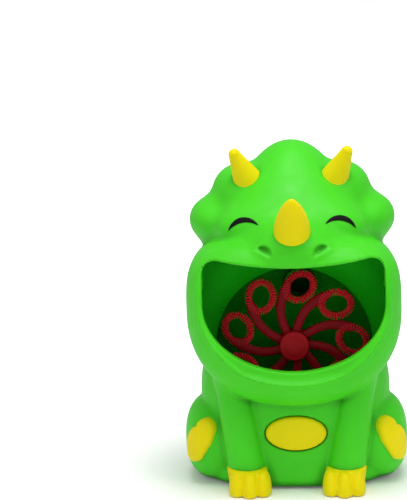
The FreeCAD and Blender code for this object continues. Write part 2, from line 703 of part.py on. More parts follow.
for side, sign in SIDES:
    toes = (
        ("21", "-55", "6.5", "10.5", "19"),
        ("30", "-58", "6.5", "10.5", "19"),
        ("39", "-55", "6.5", "10.5", "19"),
    )
    lumps, hollows = [], []
    for number, (x, y, rx, ry, rz) in enumerate(toes + (("30", "-50", "15.5", "14", "19"),)):
        centre = (f"{sign} * {x}", y, "0")
        lumps.append(ellipsoid(f"toe_{side}_{number}", centre, (rx, ry, rz)))
        hollows.append(ellipsoid(f"toe_room_{side}_{number}", centre, (rx, ry, rz), "-wall"))
    under = box(f"under_foot_{side}", FAR_LEFT_RIGHT, ("-100", "100"), ("-30", "0.3"))
    foot = cut(f"foot_cap_{side}", fuse(f"foot_{side}_whole", *lumps), outer, under, *hollows)
    subpart(f"front_foot_{side}", foot)


def sole_solid(sign):
    """A paw pad's outline, carried through the side of the haunch."""
    along = Vector(0.77 * sign, 0.64, 0)
    through = Vector(0.64 * sign, -0.77, 0)
    corners = (
        (-5.2, 15),
        (-12.5, 12),
        (-14, 5),
        (-9, -4),
        (-2, -11.5),
        (4.5, -14),
        (10.5, -9),
        (12, -1),
        (10, 8),
        (3, 11),
    )
    points = [Vector(62 * sign, -24, 27) + along * u + Vector(0, 0, w) - through * 12 for u, w in corners]
    return Part.Face(closed_wire(points)).extrude(through * 40)


for side, sign in SIDES:
    centre = (f"{sign} * haunch_x", "haunch_y", "haunch_z")
    swollen = ellipsoid(f"sole_skin_{side}", centre, ("haunch_rx", "haunch_ry", "haunch_rz"), "2")
    through_haunch = feature(f"sole_outline_{side}", sole_solid(sign))
    subpart(
        f"hind_sole_{side}",
        cut(f"hind_sole_{side}_piece", common(f"sole_block_{side}", swollen, through_haunch), outer),
    )

# ---------------------------------------------------------------- power button and switch

proud_body = feature("proud_body", body_solid(size("button_proud")))
inside_body = feature("inside_body", body_solid(-size("wall") - 0.3))
button_face = common(
    "button_face", oval("button_oval", "button_rx", "button_rz", "button_z", ("-60", "-43.7")), proud_body
)
flange_oval = oval("flange_oval", "button_rx + 2", "button_rz + 2", "button_z", ("-60", "-43.7"))
flange = common("button_flange", flange_oval, inside_body)
stem = rod("button_stem", "2.5", "0", "switch_z", ("-44", "-42.7"))
subpart("power_button", fuse("power_button_piece", button_face, flange, stem))

board = box("board_plate", ("-20", "20"), ("-36", "-34.4"), ("12", "36"))
board_holes = [
    rod(f"board_hole_{i}", "1.1", f"{s} * 16", "16", ("-37", "-33")) for i, (_, s) in enumerate(SIDES)
]
subpart("switch_board", cut("switch_board_piece", board, *board_holes))
switch_block = box("switch_block", ("-3", "3"), ("-39.5", "-36"), ("switch_z - 3", "switch_z + 3"))
switch_bore = rod("switch_bore", "1.55", "0", "switch_z", ("-41", "-36.2"))
subpart("push_switch", cut("push_switch_piece", switch_block, switch_bore))
subpart("switch_plunger", rod("switch_plunger_piece", "1.5", "0", "switch_z", ("-42.7", "-38")))

coil = doc.addObject("Part::Helix", "spring_line")
coil.Placement = Placement(Vector(), Rotation(Vector(1, 0, 0), -90))
bind(coil, Radius="4.9", Pitch="1.6", Height="6.4")
move(coil, "0", "-43.05", "switch_z")
wire_circle = doc.addObject("Part::Circle", "spring_wire")
wire_circle.Placement = Placement(Vector(), Rotation())
bind(wire_circle, Radius="0.35")
move(wire_circle, "4.9", "-43.05", "switch_z")
spring = doc.addObject("Part::Sweep", "button_spring_piece")
spring.Sections = [wire_circle]
spring.Spine = (coil, [])
spring.Solid = True
spring.Frenet = True
subpart("button_spring", spring)

# ---------------------------------------------------------------- wand wheel

ARMS = 9
RIBS = 40
FIRST_RING = 83.5  # degrees: this ring stands in front of the air nozzle
RING_LEAN = -42  # long axis of a ring from its own radius


def polar(radius, degrees):
    return Vector(radius * math.cos(math.radians(degrees)), 0, radius * math.sin(math.radians(degrees)))


def ring_solid(degrees):
    """An oval bubble ring: a rim with a comb of ribs pointing inwards."""
    long, short, band = size("ring_long"), size("ring_short"), size("ring_band")
    comb = []
    for rib in range(RIBS):
        for share, depth in ((-0.25, band), (0.25, band), (0.28, 1.6), (0.72, 1.6)):
            turn = 2 * math.pi * (rib + share) / RIBS
            comb.append(Vector((long - depth) * math.cos(turn), 0, (short - depth) * math.sin(turn)))
    rim = Part.Ellipse(Vector(long, 0, 0), Vector(0, 0, short), Vector()).toShape()
    face = Part.makeFace([Part.Wire([rim]), Part.makePolygon(comb + comb[:1])], "Part::FaceMakerBullseye")
    ring = face.extrude(Vector(0, size("ring_deep"), 0))
    ring.rotate(Vector(), Vector(0, -1, 0), degrees + RING_LEAN)
    ring.translate(polar(size("ring_orbit"), degrees) - Vector(0, size("ring_deep / 2"), 0))
    return ring


def arm_solid(degrees):
    """A swirling arm from the hub to its ring's flank."""
    half = size("arm_wide / 2")
    middle = [
        polar(radius, degrees + swirl)
        for radius, swirl in ((7, 37), (13, 33), (20, 27.5), (27, 22.5), (34, 19))
    ]
    edges = [[], []]
    for before, here, after in zip(middle[:1] + middle, middle, middle[1:] + middle[-1:]):
        along = (after - before).normalize()
        aside = Vector(-along.z, 0, along.x) * half
        edges[0].append(here + aside)
        edges[1].append(here - aside)
    curves = []
    for points in edges:
        curve = Part.BSplineCurve()
        curve.interpolate(points)
        curves.append(curve.toShape())
    ends = [Part.makeLine(edges[0][i], edges[1][i]) for i in (0, -1)]
    face = Part.Face(Part.Wire(Part.__sortEdges__(curves + ends)))
    arm = face.extrude(Vector(0, size("arm_thick"), 0))
    arm.translate(Vector(0, -size("arm_thick / 2"), 0))
    return arm


def wheel_solid():
    """Hub, arms and rings in one moulding, about its own middle."""
    front, back = size("hub_front_y + 1.5 - wheel_y"), size("hub_back_y - wheel_y")
    hub = Part.makeCylinder(size("hub_rad"), back - front, Vector(0, front, 0), Vector(0, 1, 0))
    spokes = []
    for arm in range(ARMS):
        degrees = FIRST_RING + 360 / ARMS * arm
        ring = ring_solid(degrees)
        rim_room = Part.Ellipse(
            Vector(size("ring_long") - 1, 0, 0), Vector(0, 0, size("ring_short") - 1), Vector()
        ).toShape()
        window = Part.Face(Part.Wire([rim_room])).extrude(Vector(0, 20, 0))
        window.rotate(Vector(), Vector(0, -1, 0), degrees + RING_LEAN)
        window.translate(polar(size("ring_orbit"), degrees) - Vector(0, 10, 0))
        spokes.append(ring.fuse(arm_solid(degrees).cut(window)))
    whole = hub.multiFuse(spokes)
    return whole.cut(Part.makeCylinder(size("axle_rad"), 60, Vector(0, -30, 0), Vector(0, 1, 0)))


wheel = feature("wand_wheel_piece", wheel_solid())
move(wheel, "0", "wheel_y", "axle_z")
subpart("wand_wheel", wheel)

cap = turned(
    "hub_cap_piece",
    [("0", "0"), ("hub_rad - 2.2", "0"), ("hub_rad - 0.6", "0.9"), ("hub_rad", "2.4"), ("0", "2.4")],
)
cap.Placement.Rotation = ALONG_Y
move(cap, "0", "hub_front_y - 0.9", "axle_z")
subpart("hub_cap", cap)

shaft = turned(
    "wheel_shaft_piece",
    [("0", "0"), ("axle_rad - 0.4", "0"), ("axle_rad", "0.4"), ("axle_rad", "48.5"), ("0", "48.5")],
)
shaft.Placement.Rotation = ALONG_Y
move(shaft, "0", "-34", "axle_z")
subpart("wheel_shaft", shaft)

bore = "axle_rad + run_gap"
bush = turned("wheel_bush_piece", [(bore, "0"), ("4", "0"), ("4", "8"), (bore, "8")])
bush.Placement.Rotation = ALONG_Y
move(bush, "0", "-14", "axle_z")
subpart("wheel_bush", bush)

# ---------------------------------------------------------------- gear train


def gear_outline(teeth, phase):
    """A spur gear with involute flanks, thinned for backlash; one tooth points in the direction of phase."""
    module, pressure = size("tooth_module"), math.radians(20)
    pitch = module * teeth / 2
    base, tip, root = pitch * math.cos(pressure), pitch + 0.8 * module, pitch - 1.15 * module

    def involute(radius):
        return math.sqrt((radius / base) ** 2 - 1) - math.acos(base / radius)

    levels = [root, tip] if root > base else [root, base * 1.001, tip]
    levels.insert(-1, pitch)
    flank = [
        (radius, 0.4 * math.pi / teeth + involute(pitch) - involute(max(radius, base))) for radius in levels
    ]
    flank = [(radius, max(half, 0.08 * math.pi / teeth)) for radius, half in flank]
    points = []
    for tooth in range(teeth):
        middle = math.radians(phase) + 2 * math.pi * tooth / teeth
        for side, run in ((-1, flank), (1, flank[::-1])):
            for radius, half in run:
                points.append(polar(radius, math.degrees(middle + side * half)))
    return Part.makePolygon(points + points[:1])


def gear(name, teeth, phase, place, y, bore):
    """One toothed wheel of the train, standing on its own axis."""
    hole = Part.Wire([Part.makeCircle(size(bore), Vector(), Vector(0, 1, 0))])
    face = Part.makeFace([gear_outline(int(size(teeth)), phase), hole], "Part::FaceMakerBullseye")
    wheel = feature(name, face.extrude(Vector(0, size(f"({y[1]}) - ({y[0]})"), 0)))
    wheel.Placement.Base = place + Vector(0, size(y[0]), 0)
    return wheel


def meshing(direction, teeth, phase, other):
    """Phase of a gear that meshes with one of the given teeth and phase, seen in the given direction."""
    pitch, other_pitch = 360 / size(teeth), 360 / size(other)
    return direction + 180 - other_pitch * (0.5 - (direction - phase) / pitch)


AXLE = Vector(0, 0, size("axle_z"))
PIN_B = AXLE + polar(size("tooth_module * (output_teeth + pinion_teeth) / 2"), size("gear_b_angle"))
PIN_A = PIN_B + polar(size("tooth_module * (middle_teeth + pinion_teeth) / 2"), size("gear_a_angle"))
MOTOR = PIN_A + polar(size("tooth_module * (middle_teeth + pinion_teeth) / 2"), size("pinion_angle"))

subpart("output_gear", gear("output_gear_piece", "output_teeth", 0, AXLE, ("-3.6", "0.4"), "axle_rad"))
b_phase = meshing(size("gear_b_angle"), "output_teeth", 0, "pinion_teeth")
subpart("gear_b", fuse(
    "gear_b_piece",
    gear("gear_b_small", "pinion_teeth", b_phase, PIN_B, ("-3.9", "1.6"), "pin_rad + run_gap"),
    gear("gear_b_large", "middle_teeth", 0, PIN_B, ("1.4", "4.4"), "pin_rad + run_gap"),
))
a_phase = meshing(size("gear_a_angle"), "middle_teeth", 0, "pinion_teeth")
subpart("gear_a", fuse(
    "gear_a_piece",
    gear("gear_a_small", "pinion_teeth", a_phase, PIN_A, ("1.1", "5.8"), "pin_rad + run_gap"),
    gear("gear_a_large", "middle_teeth", 0, PIN_A, ("5.6", "8.4"), "pin_rad + run_gap"),
))
p_phase = meshing(size("pinion_angle"), "middle_teeth", 0, "pinion_teeth")
subpart(
    "motor_pinion", gear("motor_pinion_piece", "pinion_teeth", p_phase, MOTOR, ("5.3", "9.2"), "pin_rad")
)


def at(point):
    """X and Z of an axis, as text for the helpers."""
    return str(point.x), str(point.z)


pins = [rod(f"gear_pin_{i}", "pin_rad", *at(pin), ("-5.6", "11")) for i, pin in enumerate((PIN_B, PIN_A))]
subpart("gear_pins", group("gear_pins_piece", *pins))

CASE_X, CASE_Z = ("case_left", "case_right"), ("case_low", "case_high")
CASE_SCREWS = (("-28.5", "73"), ("14.5", "73"), ("14.5", "110.5"), ("-28.5", "110.5"))
case_block = box("case_block", CASE_X, ("case_front_y", "case_back_y"), CASE_Z)
room_x = ("case_left + case_wall", "case_right - case_wall")
room_z = ("case_low + case_wall", "case_high - case_wall")
case_room = box("case_room", room_x, ("case_front_y + 1.6", "20"), room_z)
case_adds = [cut("case_tray", case_block, case_room)]
case_holes = [
    rod(f"case_pin_{i}", "pin_rad", *at(pin), ("-5.6", "0")) for i, pin in enumerate((PIN_B, PIN_A))
]
case_holes.append(rod("case_shaft_hole", "axle_rad + 0.3", "0", "axle_z", ("-7", "0")))
for number, place in enumerate(CASE_SCREWS):
    case_adds.append(rod(f"case_post_{number}", "2.4", *place, ("case_front_y", "case_back_y")))
    case_holes.append(rod(f"case_pilot_{number}", "0.9", *place, ("2", "12")))
for number, place in enumerate(CASE_EARS):
    case_adds.append(rod(f"case_ear_{number}", "4.2", *place, ("case_front_y", "-4.4")))
    case_holes.append(rod(f"case_ear_hole_{number}", "1.1", *place, ("-7", "-3")))
subpart("gear_case", cut("gear_case_piece", fuse("case_whole", *case_adds), *case_holes))

COVER_Y = ("case_back_y", "case_back_y + cover_thick")


def can(name, place, y, inset="0"):
    """A small motor's flat-sided can."""
    half, flat = f"motor_wide / 2 - ({inset})", f"motor_flat / 2 - ({inset})"
    flats = box(
        name + "_flats",
        (f"{place[0]} - 20", f"{place[0]} + 20"),
        y,
        (f"{place[1]} - ({flat})", f"{place[1]} + {flat}"),
    )
    return common(name, rod(name + "_round", half, *place, y), flats)


MOTOR_AT, FAN_AT = at(MOTOR), ("fan_x", "fan_z")
collar_y = ("case_back_y + 0.5", "case_back_y + cover_thick + 6")
cover_plate = box("cover_plate", CASE_X, COVER_Y, CASE_Z)
cover_holes = [rod(f"cover_screw_{i}", "1.1", *place, ("9", "13")) for i, place in enumerate(CASE_SCREWS)]
cover_holes += [
    rod(f"cover_pin_{i}", "pin_rad", *at(pin), ("9", "11")) for i, pin in enumerate((PIN_B, PIN_A))
]
cover_holes.append(rod("cover_shaft_hole", "axle_rad + run_gap", "0", "axle_z", ("9", "13")))
cover_holes.append(rod("cover_motor_hole", "3.6", *MOTOR_AT, ("9", "13")))
cover_holes.append(can("cover_can_room", MOTOR_AT, ("case_back_y + cover_thick", "40")))
cover_body = fuse("cover_body", cover_plate, can("cover_collar", MOTOR_AT, collar_y, "-1.4"))
subpart("gear_cover", cut("gear_cover_piece", cover_body, *cover_holes))

# ---------------------------------------------------------------- motors


def motor(node, place, front):
    """A hollow can with a shaft hole in each end; front is the depth of its mounting face."""
    back = f"{front} + motor_long"
    shell_can = can(node + "_can", place, (front, back))
    room = can(node + "_room", place, (f"{front} + 1", f"{back} - 1"), "1")
    hole = rod(node + "_hole", "pin_rad + run_gap", *place, (f"{front} - 1", f"{back} + 1"))
    return subpart(node, cut(node + "_piece", shell_can, room, hole))


def rotor(node, place, shaft_y, armature_y):
    shaft = rod(node + "_shaft", "pin_rad", *place, shaft_y)
    return subpart(node, fuse(node + "_piece", shaft, rod(node + "_armature", "6.2", *place, armature_y)))


motor("drive_motor", MOTOR_AT, "case_back_y + cover_thick")
rotor("drive_rotor", MOTOR_AT, ("5", "36.4"), ("15", "32"))
motor("fan_motor", FAN_AT, "scroll_front_y - motor_long")
rotor("fan_rotor", FAN_AT, ("-22.8", "15.5"), ("-19", "-3"))

# ---------------------------------------------------------------- blower and air duct

blades = []
for number in range(int(size("fan_blades"))):
    turn = Rotation(Vector(0, 1, 0), 360 / size("fan_blades") * number)
    blade = doc.addObject("Part::Box", f"blade_{number}")
    bind(blade, Length="11", Width="fan_deep - 1", Height="1")
    blade.Placement.Rotation = turn * Rotation(Vector(0, 1, 0), 35)
    corner = turn.multVec(Vector(9, 0, 2.5))
    move(blade, f"fan_x + {corner.x}", "fan_front_y + 1", f"fan_z + {corner.z}")
    blades.append(blade)
fan_plate = rod("fan_plate", "fan_rad", *FAN_AT, ("fan_front_y", "fan_front_y + 1.2"))
fan_hub = rod("fan_hub", "3.5", *FAN_AT, ("fan_front_y", "fan_front_y + 9"))
fan_limit = rod("fan_limit", "fan_rad", *FAN_AT, ("0", "30"))
fan_body = common("fan_body", fuse("fan_whole", fan_plate, fan_hub, *blades), fan_limit)
subpart("impeller", cut("impeller_piece", fan_body, rod("fan_bore", "pin_rad", *FAN_AT, ("0", "30"))))

SCROLL_FROM, SCROLL_TO = 21.5, 27  # radius of the scroll at its tongue and at its outlet
OUTLET_LEFT, OUTLET_LOW = -6, 134


def scroll_solid(inset, y):
    """The blower's snail outline: a radius that grows clockwise to the outlet, which points down."""
    fan = Vector(size("fan_x"), 0, size("fan_z"))
    left, right = OUTLET_LEFT + inset, fan.x + SCROLL_TO - inset
    tongue = math.degrees(math.acos((left - fan.x) / (SCROLL_FROM - inset)))
    spiral = []
    for step in range(25):
        radius = SCROLL_FROM + (SCROLL_TO - SCROLL_FROM) * step / 24 - inset
        spiral.append(fan + polar(radius, -tongue - (360 - tongue) * step / 24))
    face = Part.Face(
        Part.makePolygon(spiral + [Vector(right, 0, OUTLET_LOW), Vector(left, 0, OUTLET_LOW), spiral[0]])
    )
    face.translate(Vector(0, size(y[0]), 0))
    return face.extrude(Vector(0, size(f"({y[1]}) - ({y[0]})"), 0))


scroll = feature("scroll", scroll_solid(0, ("scroll_front_y", "scroll_back_y")))
scroll_room = feature(
    "scroll_room", scroll_solid(size("scroll_wall"), ("scroll_front_y + scroll_wall", "scroll_back_y + 1"))
)
outlet_x = (f"{OUTLET_LEFT} + scroll_wall", f"fan_x + {SCROLL_TO} - scroll_wall")
outlet_hole = box(
    "outlet_hole", outlet_x, ("scroll_front_y + scroll_wall", "scroll_back_y + 1"), ("130", "145")
)
fan_collar = can("fan_collar", FAN_AT, ("scroll_front_y - 6", "scroll_front_y + 0.5"), "-1.4")
collar_room = can("fan_collar_room", FAN_AT, ("scroll_front_y - 7", "scroll_front_y"))
shaft_hole = rod("fan_shaft_hole", "3", *FAN_AT, ("0", "5"))
SCROLL_SCREWS = (("-33.5", "150.2"), ("-33", "182.5"), ("10", "179.7"))
lugs = [
    rod(f"scroll_lug_{i}", "2.6", *place, ("scroll_front_y", "scroll_back_y"))
    for i, place in enumerate(SCROLL_SCREWS)
]
lug_pilots = [rod(f"lug_pilot_{i}", "0.9", *place, ("9", "20")) for i, place in enumerate(SCROLL_SCREWS)]
housing = cut("housing_hollow", fuse("housing_outside", scroll, fan_collar), scroll_room, outlet_hole)
lug_ring = cut("scroll_lugs", fuse("all_lugs", *lugs), feature("lug_trim", scroll_solid(0.7, ("0", "30"))))
subpart(
    "blower_housing",
    cut(
        "blower_housing_piece",
        fuse("housing_lugged", housing, lug_ring),
        collar_room,
        shaft_hole,
        *lug_pilots,
    ),
)

cover_scroll = feature("cover_scroll", scroll_solid(0, ("scroll_back_y", "scroll_back_y + 1.8")))
cover_lugs = [
    rod(f"lid_lug_{i}", "2.6", *place, ("scroll_back_y", "20.8")) for i, place in enumerate(SCROLL_SCREWS)
]
cover_ears = [
    box("lid_ear_0", ("-45", "-33"), ("scroll_back_y", "20.8"), ("169", "175")),
    box("lid_ear_1", ("8", "22"), ("scroll_back_y", "20.8"), ("155", "161")),
]
lid_holes = [rod(f"lid_hole_{i}", "1.1", *place, ("18", "22")) for i, place in enumerate(SCROLL_SCREWS)]
lid_holes += [rod(f"lid_ear_hole_{i}", "1.6", *place, ("18", "22")) for i, place in enumerate(COVER_EARS)]
lid_holes.append(rod("inlet", "12", *FAN_AT, ("18", "22")))
subpart(
    "blower_cover",
    cut("blower_cover_piece", fuse("lid_whole", cover_scroll, *cover_lugs, *cover_ears), *lid_holes),
)

DUCT_X, DUCT_Z = (f"{OUTLET_LEFT} - 1.6", f"fan_x + {SCROLL_TO} + 1.6"), ("116", "138")
duct_block = box("duct_block", DUCT_X, ("scroll_front_y - 1", "21"), DUCT_Z)
duct_room = box(
    "duct_room",
    (f"{DUCT_X[0]} + 1.5", f"{DUCT_X[1]} - 1.5"),
    ("scroll_front_y + 0.5", "19.5"),
    ("117.5", f"{OUTLET_LOW}"),
)
duct_socket_x = (f"{OUTLET_LEFT} - 0.05", f"fan_x + {SCROLL_TO} + 0.05")
duct_socket = box("duct_socket", duct_socket_x, ("scroll_front_y - 0.05", "30"), (f"{OUTLET_LOW}", "150"))
nozzle = rod("nozzle", "nozzle_rad", "nozzle_x", "nozzle_z", ("nozzle_front_y", "scroll_front_y"))
nozzle_bore = rod("nozzle_bore", "nozzle_rad - 1.5", "nozzle_x", "nozzle_z", ("nozzle_front_y - 1", "10"))
subpart(
    "air_duct",
    cut("air_duct_piece", fuse("duct_whole", duct_block, nozzle), duct_room, duct_socket, nozzle_bore),
)

# ---------------------------------------------------------------- batteries and wiring

CELLS = [f"cell_low_z + {i} * cell_pitch" for i in range(4)]
box_block = box("box_block", ("-31", "31"), ("36.9", "51.8"), ("7.5", "70.5"))
box_tower = box("box_tower", ("-5", "5"), ("44", "52"), ("70", "79.5"))
box_room = box("box_room", ("-29.5", "29.5"), ("38.4", "60"), ("9", "69"))
slot_low = rod("slot_low", "1.3", "0", "75", ("40", "60"))
slot_high = rod("slot_high", "1.3", "0", "76.2", ("40", "60"))
slot_mid = box("slot_mid", ("-1.3", "1.3"), ("40", "60"), ("75", "76.2"))
tray = common("box_trimmed", fuse("box_whole", box_block, box_tower), inside_body)
subpart("battery_box", cut("battery_box_piece", tray, box_room, slot_low, slot_high, slot_mid))

cells = []
for number, z in enumerate(CELLS):
    flip = 1 if number % 2 == 0 else -1
    cell = doc.addObject("Part::Cylinder", f"cell_{number}")
    cell.Placement.Rotation = Rotation(Vector(0, 1, 0), 90 * flip)
    bind(cell, Radius="cell_rad", Height="cell_long - 1.5")
    move(cell, f"-{flip} * cell_long / 2", "cell_y", z)
    nub = doc.addObject("Part::Cylinder", f"cell_nub_{number}")
    nub.Placement.Rotation = Rotation(Vector(0, 1, 0), 90 * flip)
    bind(nub, Radius="2.7", Height="2")
    move(nub, f"{flip} * (cell_long / 2 - 2)", "cell_y", z)
    cells.append(fuse(f"cell_{number}_whole", cell, nub))
subpart("aa_cells", group("aa_cells_piece", *cells))

plates, leaves = [], []
for number, z in enumerate(CELLS):
    flip = 1 if number % 2 == 0 else -1
    for end, kind in ((flip, plates), (-flip, leaves)):
        x = sorted((29.5 * end, 28.9 * end))
        plate = box(
            f"contact_{number}_{end}", (str(x[0]), str(x[1])), ("39.5", "51"), (f"{z} - 5.5", f"{z} + 5.5")
        )
        kind.append(plate)
        if kind is plates:
            reach = sorted((28.9 * end, 25.3 * end))
            kind.append(
                box(
                    f"stud_{number}",
                    (str(reach[0]), str(reach[1])),
                    ("43", "48.6"),
                    (f"{z} - 2.8", f"{z} + 2.8"),
                )
            )
        else:
            reach = sorted((28.9 * end, 25.3 * end))
            kind.append(
                box(
                    f"leaf_{number}",
                    (str(reach[0]), str(reach[1])),
                    ("41", "50.6"),
                    (f"{z} - 4.5", f"{z} - 3.9"),
                )
            )
            press = sorted((25.9 * end, 25.3 * end))
            kind.append(
                box(
                    f"leaf_pad_{number}",
                    (str(press[0]), str(press[1])),
                    ("41", "50.6"),
                    (f"{z} - 4.5", f"{z} + 4.5"),
                )
            )
subpart(
    "contact_plates",
    group("contact_plates_piece", *(fuse(f"plate_{i}", *plates[2 * i:2 * i + 2]) for i in range(4))),
)
subpart(
    "contact_springs",
    group("contact_springs_piece", *(fuse(f"leaf_spring_{i}", *leaves[3 * i:3 * i + 3]) for i in range(4))),
)


def cable(name, *points):
    """A wire through corner points: straight runs with a ball at each corner."""
    pieces = []
    for start, end in zip(points, points[1:]):
        run = Vector(*end) - Vector(*start)
        pieces.append(Part.makeCylinder(0.7, run.Length, Vector(*start), run))
    pieces += [Part.makeSphere(0.7, Vector(*point)) for point in points[1:-1]]
    return feature(name, pieces[0].multiFuse(pieces[1:]))


wires = [
    cable(
        "wire_supply",
        (-24, 36.9, 12),
        (-24, 34, 12),
        (-24, 30, 5),
        (-24, -30, 5),
        (-12, -32, 14),
        (-12, -34.4, 14),
    ),
    cable(
        "wire_drive",
        (12, -34.4, 14),
        (12, -32, 14),
        (24, -28, 6),
        (24, 24, 30),
        (9, 31.2, 60),
        (2, 30, 95.9),
    ),
    cable(
        "wire_fan",
        (10, -34.4, 20),
        (10, -32, 20),
        (30, -27, 24),
        (30, -2, 34),
        (30, 0, 60),
        (30, 0, 146),
        (2, -15, 160),
        (-3.9, -15, 163),
    ),
]
subpart("wiring", group("wiring_piece", *wires))

# ---------------------------------------------------------------- screws and pads

shell_screws, liner_screws, board_screws = [], [], []
for side, sign in SIDES:
    for number, (x, z) in enumerate(SHELL_POSTS):
        shell_screws.append(screw(f"shell_screw_{side}_{number}", f"{sign} * {x}", z, "-5", "9", "10.8"))
    for number, (x, z) in enumerate(LINER_POSTS):
        liner_screws.append(
            screw(f"liner_screw_{side}_{number}", f"{sign} * {x}", z, "-50", "-40", "-38.4")
        )
    for number, (x, z) in enumerate(BOARD_POSTS):
        board_screws.append(
            screw(f"board_screw_{side}_{number}", f"{sign} * {x}", z, "-42", "-34.4", "-33.2", "0.9", "2")
        )
subpart("shell_screws", group("shell_screws_piece", *shell_screws))
subpart("liner_screws", group("liner_screws_piece", *liner_screws))
subpart("board_screws", group("board_screws_piece", *board_screws))
lid_screws = [
    screw(f"lid_screw_{i}", *place, "10", "20.8", "22", "0.9", "1.9")
    for i, place in enumerate(SCROLL_SCREWS)
]
lid_screws += [
    screw(f"ear_screw_{i}", *place, "30", "scroll_back_y", "17.6") for i, place in enumerate(COVER_EARS)
]
subpart("blower_screws", group("blower_screws_piece", *lid_screws))
box_screws = [
    screw(f"case_screw_{i}", *place, "3", "11.6", "12.8", "0.9", "1.9")
    for i, place in enumerate(CASE_SCREWS)
]
subpart("gearbox_screws", group("gearbox_screws_piece", *box_screws))
ear_screws = [
    screw(f"case_ear_screw_{i}", *place, "-9.4", "-4.4", "-3.2", "0.9", "1.9")
    for i, place in enumerate(CASE_EARS)
]
subpart("case_screws", group("case_screws_piece", *ear_screws))
feet = [
    upright(f"rubber_pad_{i}", radius, x, y, ("0", "pad_thick")) for i, (x, y, radius) in enumerate(PADS)
]
subpart("rubber_pads", group("rubber_pads_piece", *feet))

# ---------------------------------------------------------------- check and write

doc.recompute()
for thing in doc.Objects:
    if "Invalid" in thing.State or "Error" in thing.State:
        raise RuntimeError(f"{thing.Name} did not compute: {thing.State}")
for node, thing in SUBPARTS:
    if thing.Shape.isNull() or not thing.Shape.isValid() or not thing.Shape.Solids:
        raise RuntimeError(f"{node} has no sound solid")

os.makedirs("parts", exist_ok=True)
for node, thing in SUBPARTS:
    thing.Shape.exportStep(f"parts/{node}.step")
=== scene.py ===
"""Looks of the dinosaur bubble machine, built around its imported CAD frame.

The moulded pieces are given as distance fields in millimetres, negative inside, on primitives like those of
the CAD solids, with their own proportions and soft blends. contour() turns each field into a closed mesh in
the frame's metres. These shapes differ from the CAD's by some millimetres; the CAD is the reference for size.
"""

import json
import math

import bpy
import numpy as np
from mathutils import Matrix, Vector


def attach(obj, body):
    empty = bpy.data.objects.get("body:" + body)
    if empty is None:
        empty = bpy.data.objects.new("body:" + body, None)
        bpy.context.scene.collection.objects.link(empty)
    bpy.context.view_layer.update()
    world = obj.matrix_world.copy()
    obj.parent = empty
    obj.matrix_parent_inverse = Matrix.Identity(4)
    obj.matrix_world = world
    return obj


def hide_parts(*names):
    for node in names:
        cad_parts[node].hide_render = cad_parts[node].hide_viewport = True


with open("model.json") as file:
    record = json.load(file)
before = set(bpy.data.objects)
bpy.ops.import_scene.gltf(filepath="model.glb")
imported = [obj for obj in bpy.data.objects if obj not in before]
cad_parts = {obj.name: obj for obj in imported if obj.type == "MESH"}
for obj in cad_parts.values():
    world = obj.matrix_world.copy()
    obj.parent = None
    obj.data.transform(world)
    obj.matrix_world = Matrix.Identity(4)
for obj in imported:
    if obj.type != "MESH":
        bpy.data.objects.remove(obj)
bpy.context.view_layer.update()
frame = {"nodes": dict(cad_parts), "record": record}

MM = 0.001

# ---------------------------------------------------------------- distance fields, in millimetres


def smooth_union(a, b, soft):
    """The nearer of two fields, with a fillet about as wide as soft."""
    near = np.maximum(soft - np.abs(a - b), 0) / soft
    return np.minimum(a, b) - near * near * soft / 4


def smooth_common(a, b, soft):
    return -smooth_union(-a, -b, soft)


def egg(p, centre, radii):
    """Signed distance, close to the surface, of an ellipsoid."""
    q = [(p[i] - centre[i]) / radii[i] for i in range(3)]
    size = np.sqrt(q[0] ** 2 + q[1] ** 2 + q[2] ** 2) + 1e-9
    slope = np.sqrt(sum((q[i] / radii[i]) ** 2 for i in range(3))) + 1e-9
    return size * (size - 1) / slope


def level(formula, p):
    """Distance to where a formula equals one, from its value and its slope."""
    step = 0.2
    here = formula(*p)
    slopes = []
    for axis in range(3):
        moved = list(p)
        moved[axis] = moved[axis] + step
        slopes.append((formula(*moved) - here) / step)
    return (here - 1) / (np.sqrt(sum(slope**2 for slope in slopes)) + 1e-6)


def jaw_formula(x, y, z):
    upper = z >= 115
    square = np.where(upper, 3.6, 2.25)
    down = 57.5 + 4 * np.clip((-30 - y) / 25, 0, 1)
    ring = np.abs(x / 67.8) ** square + np.abs((z - 115) / np.where(upper, 47.6, down)) ** square + 1e-9
    front = y < -20
    fall = np.where(front, 4.0, 2.2)
    return (ring ** (fall / square) + np.abs((y + 20) / np.where(front, 54.0, 64.0)) ** fall) ** (1 / fall)


def body_formula(x, y, z):
    under = np.clip(1 - (z - 0.8) / 8, 0, 1.4)
    above = np.clip((z - 58) / 42, 0, 0.98)
    inset = 3.5 * under**2.5 + 26 * (1 - np.sqrt(1 - above**2))
    return (np.abs(x / (62 - inset)) ** 2.8 + np.abs((y - 5) / (53 - inset)) ** 2.8 + 1e-9) ** (1 / 2.8)


LEG_BASE = np.array((29.4, -46.5, 0.0))
LEG_ALONG = np.array((0.1529, 0.0690, 0.9858))


def cone(p, base, along, low_radius, high_radius, length):
    """A tapered rod, endless both ways."""
    q = [p[i] - base[i] for i in range(3)]
    t = sum(q[i] * along[i] for i in range(3))
    away = np.sqrt(np.maximum(sum((q[i] - t * along[i]) ** 2 for i in range(3)), 0) + 1e-9)
    share = np.clip(t / length, -0.2, 1.3)
    return away - (low_radius + (high_radius - low_radius) * share)


def leg(p):
    rod = cone(p, LEG_BASE, LEG_ALONG, 12.0, 10.6, 66)
    return smooth_common(rod, p[2] - 78, 2)


def haunch_formula(x, y, z):
    upright = np.abs((x - 48) / 24.5) ** 2.6 + np.abs((z - 26.5) / 28.3) ** 2.6
    return (upright + np.abs((y + 6) / 36) ** 2.2 + 1e-9) ** 0.4


def haunch(p):
    return level(haunch_formula, p)


